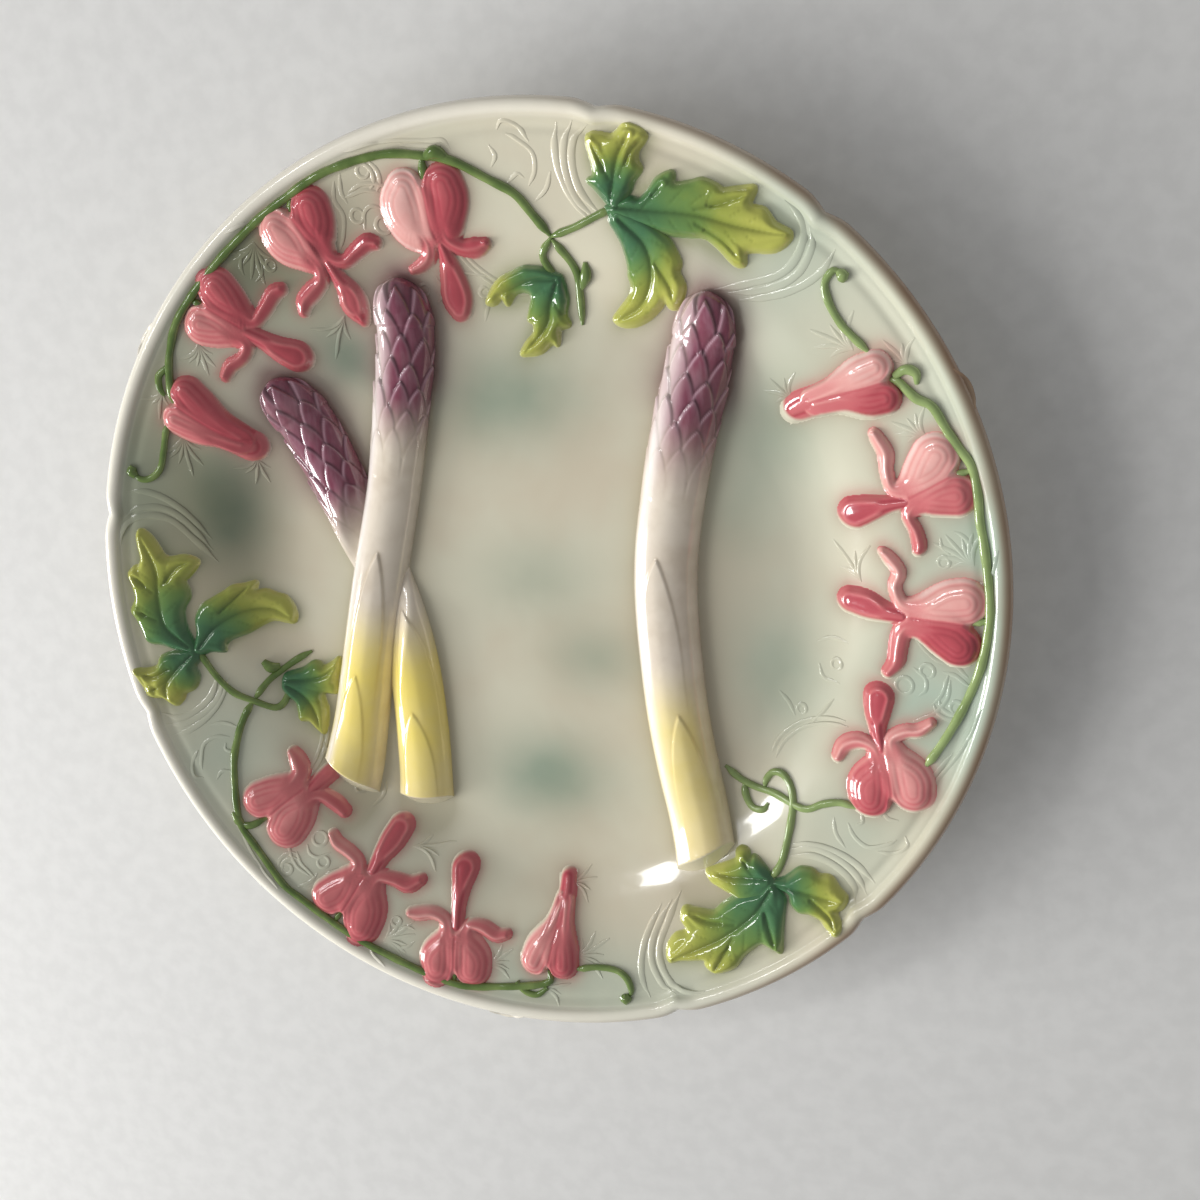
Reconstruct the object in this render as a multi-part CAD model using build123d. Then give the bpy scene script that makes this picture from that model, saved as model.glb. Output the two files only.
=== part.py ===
"""Asparagus plate: a moulded dinner plate with raised spears, flower sprays, leaves and scrolls.

Millimetres, +Z up, origin under the middle of the foot ring. +Y is the top of the design.
"""
import os
from math import cos, hypot, radians, sin, sqrt, tan

from build123d import *

# Plate
PLATE_RADIUS = 120.0
WELL_RADIUS = 68.0
WELL_BEND_RADIUS = 31.0
FLOOR_TOP = 8.5
FLOOR_THICKNESS = 5.0
WALL_ANGLE = 30.0
WALL_WIDTH = 3.0
SHOULDER_RADIUS = 45.0
RIM_ANGLE = 16.5
RIM_THICKNESS = 4.6
LIP_WIDTH = 4.4
LIP_RISE = 0.9
LIP_DROP = 1.6
FOOT_RADIUS = 71.0
FOOT_WIDTH = 5.0
FOOT_DRAFT = 1.2

# Six shallow nicks in the rim, in three pairs
NICK_PAIR_ANGLES = (62.0, 182.0, 302.0)
NICK_HALF_SPREAD = 14.0
NICK_DEPTH = 1.3
NICK_WIDTH = 12.0

# Height of the raised ornament over the plate
SPEAR_RISE = 7.6
BACK_SPEAR_RISE = 6.4
FLOWER_RISE = 2.6
BUD_RISE = 3.2
LEAF_RISE = 2.2
STEM_RISE = 1.5
SCROLL_RISE = 0.7

# Half widths of the drawn lines
VINE_HALF_WIDTH = 1.05
TENDRIL_HALF_WIDTH = 0.9
STEM_HALF_WIDTH = 1.1
SCROLL_HALF_WIDTH = 0.6

# The ornament below is drawn for a plate of this radius and follows the plate when that changes
DRAWN_RADIUS = 120.0
PLAN_SCALE = PLATE_RADIUS / DRAWN_RADIUS
SPEAR_ROOT_DEPTH = 1.5
SMALLEST_CHIP = 1.5

# Strokes are lists of (x, y, half width): two petals that end in a curled wing, and the tail
UPPER_FLOWER_1 = (
    [(-20.9, 101.3, 4.6), (-21.7, 97.5, 5.9), (-20.6, 93.0, 5.0), (-18.2, 89.0, 2.6), (-18.8, 85.8, 1.6),
     (-21.0, 84.0, 1.4), (-23.6, 83.0, 0.9)],
    [(-11.0, 101.6, 4.8), (-10.8, 98.5, 5.0), (-12.0, 93.5, 3.9), (-12.4, 89.6, 2.3), (-9.6, 87.3, 1.9),
     (-6.2, 87.1, 2.2), (-3.4, 87.8, 1.2)],
    [(-14.6, 89.0, 1.2), (-14.1, 84.6, 2.1), (-14.1, 80.0, 3.3), (-14.2, 75.6, 4.0), (-13.9, 72.6, 2.9)],
)
UPPER_FLOWER_2 = (
    [(-55.2, 95.0, 4.6), (-53.2, 92.0, 5.4), (-50.0, 88.6, 3.6), (-47.2, 85.0, 1.8), (-47.4, 82.0, 1.7),
     (-50.2, 79.6, 2.2), (-52.9, 77.2, 2.0), (-53.8, 74.6, 1.2)],
    [(-45.6, 99.2, 4.7), (-45.4, 96.2, 4.6), (-44.8, 91.4, 2.6), (-43.4, 87.4, 1.7), (-40.2, 86.2, 1.6),
     (-36.6, 88.4, 1.9), (-33.4, 90.2, 2.0), (-31.2, 90.0, 1.4)],
    [(-44.2, 86.0, 1.4), (-42.6, 82.0, 1.9), (-40.9, 78.2, 3.0), (-40.8, 75.2, 3.2), (-39.8, 71.4, 1.3)],
)
UPPER_FLOWER_3 = (
    [(-74.4, 81.8, 4.8), (-72.8, 79.0, 4.6), (-69.4, 74.8, 2.8), (-66.6, 73.2, 1.6), (-63.4, 76.2, 1.8),
     (-60.4, 79.6, 1.9), (-58.2, 80.6, 1.5)],
    [(-80.0, 73.0, 4.8), (-77.2, 72.0, 4.4), (-73.2, 70.2, 2.8), (-70.2, 67.2, 1.6), (-72.0, 64.2, 1.5),
     (-75.6, 62.2, 1.7), (-77.6, 59.6, 1.4)],
    [(-70.6, 71.0, 2.0), (-65.6, 68.0, 2.3), (-62.0, 65.4, 3.2), (-58.8, 63.6, 4.1)],
)
UPPER_BUD = (
    [(-88.2, 55.9, 4.3), (-86.0, 52.4, 4.4), (-82.0, 47.4, 3.6), (-77.5, 43.0, 3.0)],
    [(-92.0, 49.0, 4.2), (-88.2, 46.8, 4.0), (-83.0, 44.4, 3.0), (-77.5, 41.6, 2.8)],
    [(-84.0, 46.4, 4.4), (-79.6, 43.4, 3.9), (-75.6, 40.6, 4.1)],
)
LOWER_FLOWER_1 = (
    [(-83.4, -59.4, 4.9), (-79.6, -58.2, 4.8), (-74.6, -55.6, 3.0), (-72.4, -52.4, 2.4), (-73.4, -49.0, 2.0),
     (-74.6, -46.6, 1.2)],
    [(-76.2, -67.8, 5.4), (-74.2, -64.6, 5.4), (-70.6, -60.6, 3.0), (-67.0, -59.4, 1.8), (-63.2, -61.6, 1.9),
     (-60.2, -64.4, 1.5)],
    [(-70.4, -58.4, 1.8), (-67.6, -56.0, 2.4), (-64.6, -53.4, 2.6)],
)
LOWER_FLOWER_2 = (
    [(-64.4, -87.4, 4.9), (-61.6, -85.8, 4.9), (-57.4, -81.8, 2.8), (-56.2, -78.2, 1.7), (-58.6, -75.4, 1.7),
     (-62.0, -72.8, 1.7), (-63.4, -70.2, 1.2)],
    [(-55.0, -95.8, 5.0), (-54.0, -91.6, 5.6), (-52.4, -86.0, 3.4), (-49.8, -82.6, 2.0), (-45.6, -83.2, 1.9),
     (-41.6, -84.6, 2.3), (-38.2, -83.4, 1.6)],
    [(-51.6, -80.6, 2.0), (-49.4, -76.6, 2.6), (-46.6, -72.6, 3.6), (-44.6, -69.4, 3.6)],
)
LOWER_FLOWER_3 = (
    [(-32.6, -106.4, 4.8), (-32.4, -103.4, 4.9), (-30.4, -98.4, 2.6), (-30.6, -94.2, 1.6), (-34.2, -92.2, 1.7),
     (-38.2, -92.4, 2.0), (-40.8, -92.2, 1.3)],
    [(-22.4, -106.6, 4.7), (-22.4, -103.8, 4.7), (-24.2, -98.6, 2.6), (-23.2, -95.2, 1.6), (-19.6, -95.6, 1.9),
     (-15.8, -97.6, 1.9), (-12.8, -97.2, 1.4)],
    [(-27.2, -95.4, 1.8), (-26.9, -90.4, 1.9), (-26.3, -85.4, 2.6), (-25.6, -80.4, 3.9)],
)
LOWER_BUD = (
    [(-4.2, -103.0, 4.2), (-2.6, -99.6, 4.2), (1.2, -93.4, 2.6), (3.6, -87.4, 2.0)],
    [(4.0, -103.6, 4.2), (4.0, -99.6, 3.9), (4.0, -93.4, 2.6), (4.2, -87.4, 2.2)],
    [(2.4, -97.0, 3.6), (3.6, -90.6, 2.8), (4.4, -85.4, 2.4), (4.5, -81.8, 2.1)],
)
RIGHT_FLOWER_1 = (
    [(97.4, -48.2, 4.9), (96.8, -45.0, 5.0), (93.8, -40.4, 2.8), (92.4, -36.2, 1.7), (95.6, -33.9, 1.6),
     (99.0, -33.2, 1.5), (101.8, -31.0, 1.0)],
    [(87.0, -51.0, 4.8), (87.2, -48.0, 4.9), (88.8, -43.0, 2.7), (88.0, -38.8, 1.6), (84.4, -37.6, 1.9),
     (80.8, -39.2, 1.8), (79.0, -42.4, 1.3)],
    [(90.0, -39.0, 1.4), (89.0, -34.0, 1.9), (89.0, -29.8, 3.0), (89.4, -26.0, 3.6)],
)
RIGHT_FLOWER_2 = (
    [(109.2, -0.8, 5.0), (106.2, -1.4, 4.8), (100.4, -3.0, 3.0), (95.4, -2.4, 1.7), (93.4, 1.6, 1.4),
     (94.4, 5.4, 1.5), (92.2, 8.6, 1.5), (90.6, 10.2, 0.9)],
    [(107.8, -11.4, 4.8), (105.6, -9.8, 4.8), (100.4, -7.8, 3.0), (95.6, -8.6, 2.2), (94.2, -12.6, 2.1),
     (93.6, -16.6, 1.9), (91.6, -19.6, 1.3)],
    [(95.0, -5.2, 2.2), (90.6, -4.6, 2.6), (86.4, -3.4, 3.6), (82.8, -2.8, 3.4)],
)
RIGHT_FLOWER_3 = (
    [(102.8, 33.2, 4.9), (101.2, 30.6, 4.6), (97.2, 26.4, 2.6), (93.2, 25.6, 1.5), (91.8, 29.6, 1.4),
     (91.6, 33.8, 1.7), (89.8, 37.2, 1.5), (89.0, 38.6, 1.0)],
    [(107.0, 24.2, 4.7), (104.4, 23.8, 4.2), (99.8, 22.4, 2.6), (96.8, 19.2, 1.4), (98.4, 15.4, 1.4),
     (99.2, 12.2, 1.5), (98.9, 10.8, 1.2)],
    [(96.2, 22.4, 1.7), (92.0, 21.6, 2.1), (87.6, 20.4, 3.2), (84.0, 19.2, 4.0)],
)
RIGHT_BUD = (
    [(89.4, 53.6, 4.0), (85.6, 52.0, 4.0), (79.6, 48.8, 2.8), (74.0, 46.6, 2.4)],
    [(91.4, 46.6, 3.9), (87.6, 46.0, 4.0), (81.4, 46.2, 2.8), (75.6, 45.2, 2.6)],
    [(82.6, 48.4, 3.9), (77.0, 46.8, 3.5), (72.2, 45.2, 3.6), (70.0, 44.2, 3.2)],
)

# Leaflets: a midrib stroke, then its side lobes
UPPER_LEAFLET_TOP = (
    [(29.8, 94.2, 1.4), (31.2, 99.0, 5.0), (33.0, 104.0, 4.6), (36.2, 108.4, 1.6)],
    [(30.4, 99.5, 3.4), (28.4, 104.0, 2.8), (26.8, 108.0, 0.9)],
    [(33.0, 100.0, 3.2), (36.2, 104.6, 2.6), (39.4, 107.4, 1.0)],
)
UPPER_LEAFLET_SIDE = (
    [(31.5, 93.2, 2.2), (40.0, 91.8, 5.6), (50.0, 90.0, 6.2), (60.0, 86.6, 4.8), (70.4, 84.0, 1.0)],
    [(37.5, 92.5, 3.4), (42.6, 97.0, 1.9)],
    [(50.0, 91.0, 4.2), (57.0, 92.0, 3.4), (63.0, 93.2, 1.0)],
    [(50.0, 88.0, 3.4), (56.0, 83.6, 3.4), (59.6, 79.4, 1.2)],
)
UPPER_LEAFLET_INNER = (
    [(31.6, 90.4, 2.0), (37.0, 84.4, 5.0), (37.6, 77.6, 5.4), (34.2, 71.0, 4.0), (28.0, 67.4, 1.2)],
    [(39.0, 80.0, 5.0), (41.6, 75.0, 3.6), (42.2, 71.6, 1.8)],
)
UPPER_SMALL_LEAF = (
    [(12.6, 78.2, 1.6), (6.4, 78.4, 3.6), (0.6, 76.6, 3.9), (-5.6, 74.2, 1.3)],
    [(12.8, 77.4, 1.6), (10.4, 72.4, 4.4), (8.8, 67.0, 4.0), (3.0, 61.2, 1.2)],
    [(11.4, 73.0, 2.6), (13.4, 69.4, 1.2)],
)
LEFT_LEAFLET_TOP = (
    [(-99.4, -14.4, 1.6), (-105.0, -8.0, 5.2), (-105.8, 0.0, 6.4), (-105.4, 8.0, 5.0), (-107.6, 17.6, 1.2)],
    [(-104.0, 4.0, 4.0), (-99.4, 8.6, 2.8), (-95.6, 9.8, 1.0)],
    [(-107.0, 2.0, 4.0), (-111.2, 6.8, 2.0)],
    [(-107.0, -6.0, 3.4), (-111.4, -3.2, 1.8)],
)
LEFT_LEAFLET_INNER = (
    [(-96.4, -14.6, 1.8), (-91.4, -9.0, 5.8), (-84.6, -5.6, 5.8), (-77.8, -5.6, 4.0), (-73.2, -8.0, 1.8)],
    [(-90.0, -5.0, 4.0), (-86.0, -1.4, 2.8), (-82.4, 1.8, 1.0)],
)
LEFT_LEAFLET_LOW = (
    [(-99.0, -16.8, 1.6), (-103.4, -20.6, 4.8), (-106.8, -25.0, 4.4), (-106.4, -29.4, 1.2)],
    [(-104.5, -20.0, 3.6), (-110.0, -22.2, 2.6), (-113.6, -21.0, 0.9)],
    [(-106.0, -23.5, 3.0), (-111.0, -26.4, 1.3)],
)
LEFT_SMALL_LEAF = (
    [(-76.0, -26.4, 1.6), (-70.6, -26.8, 3.4), (-64.6, -25.6, 3.4), (-60.6, -22.4, 1.2)],
    [(-75.4, -28.0, 1.8), (-71.0, -31.6, 4.0), (-68.4, -36.0, 3.9), (-66.8, -41.4, 1.1)],
)
LOWER_LEAFLET_INNER = (
    [(60.2, -75.4, 1.6), (55.0, -75.6, 4.8), (50.6, -76.0, 3.2), (46.4, -75.6, 1.0)],
    [(57.0, -74.8, 3.0), (54.0, -71.4, 1.6)],
)
LOWER_LEAFLET_SIDE = (
    [(61.6, -78.0, 1.8), (57.0, -85.0, 6.0), (49.0, -91.6, 6.4), (41.6, -95.8, 3.6), (35.2, -99.0, 1.0)],
    [(52.0, -88.0, 4.2), (44.6, -88.0, 3.0), (39.8, -86.8, 1.0)],
    [(51.5, -91.5, 4.4), (48.4, -97.4, 3.4), (46.4, -100.6, 1.1)],
    [(60.0, -84.0, 4.2), (61.6, -89.0, 2.8), (62.8, -92.6, 1.0)],
)
LOWER_LEAFLET_TOP = (
    [(62.8, -76.6, 1.3), (69.6, -77.2, 5.0), (75.6, -78.0, 4.4), (79.6, -78.0, 1.8)],
    [(72.0, -78.6, 4.2), (76.4, -82.2, 2.4), (78.2, -85.4, 0.9)],
)

# Vines run along the rim with a short stalk to each flower
UPPER_VINE = (
    [(13.3, 88.5), (9.8, 93.6), (6.1, 98.5), (0.0, 102.3), (-7.7, 106.8), (-14.5, 108.6), (-25.8, 109.8),
     (-40.3, 107.1), (-52.1, 101.8), (-62.5, 95.8), (-75.1, 86.3), (-86.0, 75.5), (-90.7, 66.6), (-92.6, 57.0),
     (-92.6, 53.0)],
    [(-15.4, 108.7), (-15.6, 104.5), (-15.9, 101.0)],
    [(-50.6, 102.4), (-51.0, 98.0)],
    [(-82.4, 79.6), (-78.8, 77.6)],
)
LOWER_VINE = (
    [(-84.5, -31.5), (-87.0, -35.9), (-89.1, -41.5), (-90.7, -50.3), (-89.9, -65.1), (-85.7, -73.0),
     (-78.4, -83.4), (-72.6, -88.4), (-62.1, -96.0), (-51.7, -102.0), (-37.2, -108.2), (-25.0, -111.6),
     (-12.1, -111.1), (-0.6, -109.2), (-0.2, -106.0)],
    [(-89.7, -66.0), (-86.7, -66.9), (-82.0, -65.0)],
    [(-63.4, -95.0), (-61.0, -92.0)],
    [(-28.0, -110.8), (-27.6, -106.6)],
)
RIGHT_VINE = (
    [(100.4, -42.0), (104.7, -35.1), (108.2, -28.4), (111.4, -21.1), (113.4, -14.4), (114.6, -7.1), (114.9, -2.1),
     (114.4, 5.2), (113.4, 13.2), (112.5, 18.7), (112.0, 24.7), (110.7, 30.8), (107.6, 35.4), (105.1, 39.4),
     (102.1, 44.5), (98.5, 46.5), (94.5, 50.4), (92.0, 50.6)],
    [(114.7, -5.0), (110.6, -6.0)],
    [(110.6, 30.0), (106.0, 28.2)],
)
UPPER_TENDRIL = [(-95.2, 48.6), (-96.6, 45.2), (-98.0, 40.8), (-99.8, 36.2), (-102.5, 33.8), (-105.2, 33.5),
                 (-107.5, 35.3)]
LOWER_TENDRIL = [(7.2, -105.2), (13.6, -104.0), (19.1, -104.3), (22.2, -106.2), (23.4, -109.2), (22.5, -111.1)]
RIGHT_TENDRIL = [(88.4, 57.0), (84.3, 61.2), (81.8, 64.2), (79.5, 68.8), (78.8, 72.9), (80.8, 75.6), (82.6, 74.9)]

# Leaf stalks of the three panels
UPPER_STEM = (
    [(13.4, 88.2), (20.2, 89.9), (26.4, 92.1), (30.2, 93.2)],
    [(13.4, 88.0), (10.4, 84.4), (11.0, 81.3), (13.0, 78.4)],
    [(13.6, 87.6), (17.8, 80.7), (18.1, 74.6), (17.8, 66.9)],
)
LEFT_STEM = (
    [(-97.8, -15.6), (-94.1, -22.7), (-89.6, -28.3), (-84.5, -31.3), (-78.9, -34.0), (-76.4, -32.3),
     (-75.6, -28.6)],
    [(-84.3, -31.2), (-80.5, -26.3), (-76.4, -23.2), (-72.4, -20.7), (-68.3, -18.7)],
)
LOWER_STEM = (
    [(61.5, -76.0), (64.4, -71.1), (65.9, -65.7), (67.1, -59.3), (67.4, -54.8), (66.4, -51.4), (64.4, -49.4),
     (62.0, -49.4), (60.2, -51.4), (59.6, -54.0)],
    [(49.1, -48.9), (53.1, -52.1), (57.5, -53.8), (62.5, -54.6), (70.3, -56.8), (75.3, -54.8), (79.7, -53.8),
     (84.0, -54.6)],
    [(54.1, -52.6), (54.6, -56.3), (56.5, -59.0), (59.5, -59.0), (60.7, -57.3)],
)

# Paired scroll lines on both sides of a panel, drawn once and turned to the three panels
SCROLL_LEFT = (
    [(19.0, 112.8), (17.8, 107.7), (19.0, 100.4), (22.0, 95.0)],
    [(26.4, 111.6), (22.7, 109.0), (21.5, 104.0), (22.7, 97.9), (25.6, 94.2)],
)
SCROLL_RIGHT = (
    [(73.0, 87.6), (74.5, 85.6), (73.0, 79.5), (68.7, 75.8), (61.3, 74.3), (58.0, 73.8)],
    [(76.1, 85.4), (76.1, 80.7), (72.4, 74.6), (66.3, 71.8), (59.6, 71.4)],
)
PANEL_TURNS = {"upper": 0.0, "left": 120.0, "lower": 240.0}

# Spears, from the tip to the cut end
SPEAR_RIGHT = [(50.6, 72.2, 2.4), (49.9, 66.6, 6.2), (47.8, 58.4, 7.9), (40.2, 30.0, 8.3), (35.8, 4.0, 8.3),
               (36.2, -24.0, 8.3), (38.9, -48.0, 8.4), (43.8, -72.6, 8.6)]
SPEAR_LEFT_FRONT = [(-28.2, 80.6, 2.4), (-28.6, 74.4, 6.2), (-30.0, 62.0, 7.6), (-37.0, 30.0, 7.5),
                    (-45.2, 0.0, 7.7), (-52.8, -30.0, 7.9), (-58.6, -54.5, 8.5)]
SPEAR_LEFT_BACK = [(-66.0, 57.0, 2.8), (-63.4, 52.0, 6.4), (-58.2, 41.6, 7.7), (-49.4, 20.0, 7.7),
                   (-42.2, 0.0, 7.8), (-38.0, -18.0, 7.8), (-36.6, -40.0, 7.8), (-37.0, -61.0, 7.9)]


def profile_points():
    """Corners of the upper side as (radius, height): end of the floor, both ends of the wall, start of the rim."""
    wall, rim = radians(WALL_ANGLE), radians(RIM_ANGLE)
    floor_edge = (WELL_RADIUS, FLOOR_TOP)
    wall_foot = (WELL_RADIUS + WELL_BEND_RADIUS * sin(wall), FLOOR_TOP + WELL_BEND_RADIUS * (1 - cos(wall)))
    wall_head = (wall_foot[0] + WALL_WIDTH, wall_foot[1] + WALL_WIDTH * tan(wall))
    rim_start = (wall_head[0] + SHOULDER_RADIUS * (sin(wall) - sin(rim)),
                 wall_head[1] + SHOULDER_RADIUS * (cos(rim) - cos(wall)))
    return floor_edge, wall_foot, wall_head, rim_start


def slope_height(radius):
    """Height of the straight rim slope over the foot."""
    start_radius, start_height = profile_points()[3]
    return start_height + tan(radians(RIM_ANGLE)) * (radius - start_radius)


def top_edges():
    """Edges of the plate's upper side, from the middle of the well to the outermost point of the lip."""
    floor_edge, wall_foot, wall_head, rim_start = [(radius, 0, height) for radius, height in profile_points()]
    middle_of_lip = PLATE_RADIUS - LIP_WIDTH / 2
    lip_start = PLATE_RADIUS - LIP_WIDTH
    floor_middle = (0, 0, FLOOR_TOP)
    slope_end = (lip_start, 0, slope_height(lip_start))
    lip_top = (middle_of_lip, 0, slope_height(middle_of_lip) + LIP_RISE)
    lip_edge = (PLATE_RADIUS, 0, slope_height(PLATE_RADIUS) - LIP_DROP)
    wall_way = (cos(radians(WALL_ANGLE)), 0, sin(radians(WALL_ANGLE)))
    return [
        Line(floor_middle, floor_edge),
        TangentArc(floor_edge, wall_foot, tangent=(1, 0, 0)),
        Line(wall_foot, wall_head),
        TangentArc(wall_head, rim_start, tangent=wall_way),
        Line(rim_start, slope_end),
        ThreePointArc(slope_end, lip_top, lip_edge),
    ]


def surface_height(x, y):
    """Height of the plate's upper side under a point of the design, without the lip."""
    radius = hypot(x, y)
    floor_edge, wall_foot, wall_head, rim_start = profile_points()
    if radius <= wall_foot[0]:
        out = max(0.0, radius - floor_edge[0])
        return FLOOR_TOP + WELL_BEND_RADIUS - sqrt(WELL_BEND_RADIUS ** 2 - out ** 2)
    if radius <= wall_head[0]:
        return wall_foot[1] + tan(radians(WALL_ANGLE)) * (radius - wall_foot[0])
    if radius <= rim_start[0]:
        wall = radians(WALL_ANGLE)
        back = wall_head[0] + SHOULDER_RADIUS * sin(wall) - radius
        return wall_head[1] - SHOULDER_RADIUS * cos(wall) + sqrt(SHOULDER_RADIUS ** 2 - back ** 2)
    return slope_height(radius)


def closed_profile(edges, corners):
    """Face of a turned profile: the upper edges, closed through the given (radius, height) corners."""
    points = [edges[-1] @ 1, *[Vector(radius, 0, height) for radius, height in corners], edges[0] @ 0]
    return make_face([*edges, *[Line(a, b) for a, b in zip(points, points[1:])]])


def make_plate():
    """Turned plate with its foot ring and the six rim nicks."""
    underside = FLOOR_TOP - FLOOR_THICKNESS
    lip_middle = PLATE_RADIUS - LIP_WIDTH / 2
    shoulder, shoulder_height = profile_points()[3]
    corners = [
        (lip_middle, slope_height(lip_middle) - RIM_THICKNESS),
        (shoulder, shoulder_height - RIM_THICKNESS),
        (FOOT_RADIUS + FOOT_DRAFT, underside),
        (FOOT_RADIUS, 0.0),
        (FOOT_RADIUS - FOOT_WIDTH, 0.0),
        (FOOT_RADIUS - FOOT_WIDTH - FOOT_DRAFT, underside),
        (0.0, underside),
    ]
    plate = revolve(closed_profile(top_edges(), corners), Axis.Z)
    nick_radius = (NICK_WIDTH ** 2 / 4 + NICK_DEPTH ** 2) / (2 * NICK_DEPTH)
    nick_reach = PLATE_RADIUS - NICK_DEPTH + nick_radius
    nick_height = 2 * slope_height(PLATE_RADIUS)
    for pair_angle in NICK_PAIR_ANGLES:
        for side in (-1, 1):
            angle = radians(pair_angle + side * NICK_HALF_SPREAD)
            place = Pos(nick_reach * cos(angle), nick_reach * sin(angle), nick_height / 2)
            plate -= place * Cylinder(nick_radius, nick_height)
    return plate


def make_layer(rise):
    """Skin of an even height that lies on the plate's upper side."""
    lower = top_edges()
    upper = [Pos(0, 0, rise) * edge for edge in lower]
    ends = [Line(lower[0] @ 0, upper[0] @ 0), Line(lower[-1] @ 1, upper[-1] @ 1)]
    return revolve(make_face([*lower, *upper, *ends]), Axis.Z)


def make_underground():
    """Everything below the plate's upper side, used to seat the spears."""
    floor = -FLOOR_TOP
    return revolve(closed_profile(top_edges(), [(PLATE_RADIUS, floor), (0.0, floor)]), Axis.Z)


def stroke_sides(stations):
    """Left and right points, and both end directions, of a stroke of (x, y, half width) stations."""
    middles = [Vector(x, y) * PLAN_SCALE for x, y, _ in stations]
    widths = [width * PLAN_SCALE for _, _, width in stations]
    last = len(middles) - 1
    ways = [(middles[min(i + 1, last)] - middles[max(i - 1, 0)]).normalized() for i in range(last + 1)]
    sides = [way.rotate(Axis.Z, 90) * width for way, width in zip(ways, widths)]
    left = [middle + side for middle, side in zip(middles, sides)]
    right = [middle - side for middle, side in zip(middles, sides)]
    start = middles[0] - ways[0] * widths[0]
    end = middles[-1] + ways[-1] * widths[-1]
    return left, right, start, end


def stroke_face(stations):
    """Flat shape of a stroke with round ends."""
    left, right, start, end = stroke_sides(stations)
    return make_face([
        Spline(left),
        ThreePointArc(left[-1], end, right[-1]),
        Spline(right[::-1]),
        ThreePointArc(right[0], start, left[0]),
    ])


def line_face(points, half_width):
    """Flat shape of a line of even width."""
    return stroke_face([(x, y, half_width) for x, y in points])


def joined(faces):
    """Flat shapes joined into one sketch."""
    whole = faces[0]
    for face in faces[1:]:
        whole += face
    return whole


def cut_back(sketch, placed):
    """Cut a flat shape back to the shapes already in place, and drop chips that break off."""
    box = sketch.bounding_box()
    for other in placed:
        other_box = other.bounding_box()
        apart = any(getattr(box.min, axis) > getattr(other_box.max, axis)
                    or getattr(other_box.min, axis) > getattr(box.max, axis) for axis in "XY")
        if not apart:
            sketch = sketch - other
    return [face for face in sketch.faces() if face.area > SMALLEST_CHIP]


def raise_faces(faces, layer):
    """Lift flat shapes into the skin that lies on the plate."""
    solids = [solid for face in faces
              for solid in (extrude(face, amount=2 * slope_height(PLATE_RADIUS)) & layer).solids()]
    return Compound(solids) if len(solids) > 1 else solids[0]


def spear_footprint(stations):
    """Flat shape of the ground that a spear covers."""
    left, right, _, _ = stroke_sides(stations)
    return make_face([Spline(left), Line(left[-1], right[-1]), Spline(right[::-1]), Line(right[0], left[0])])


def make_spear(stations, rise, underground):
    """Half-round spear that lies in the well, from its tip to its cut end."""
    left, right, _, _ = stroke_sides(stations)
    widest = max(width for _, _, width in stations)
    sections = []
    for (_, _, width), a, b in zip(stations, left, right):
        middle = (a + b) / 2
        ground = surface_height(middle.X, middle.Y)
        crest = Vector(middle.X, middle.Y, ground + rise * width / widest)
        foot_a = Vector(a.X, a.Y, ground - SPEAR_ROOT_DEPTH)
        foot_b = Vector(b.X, b.Y, ground - SPEAR_ROOT_DEPTH)
        sections.append(make_face([ThreePointArc(foot_a, crest, foot_b), Line(foot_b, foot_a)]))
    return loft(sections) - underground


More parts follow.
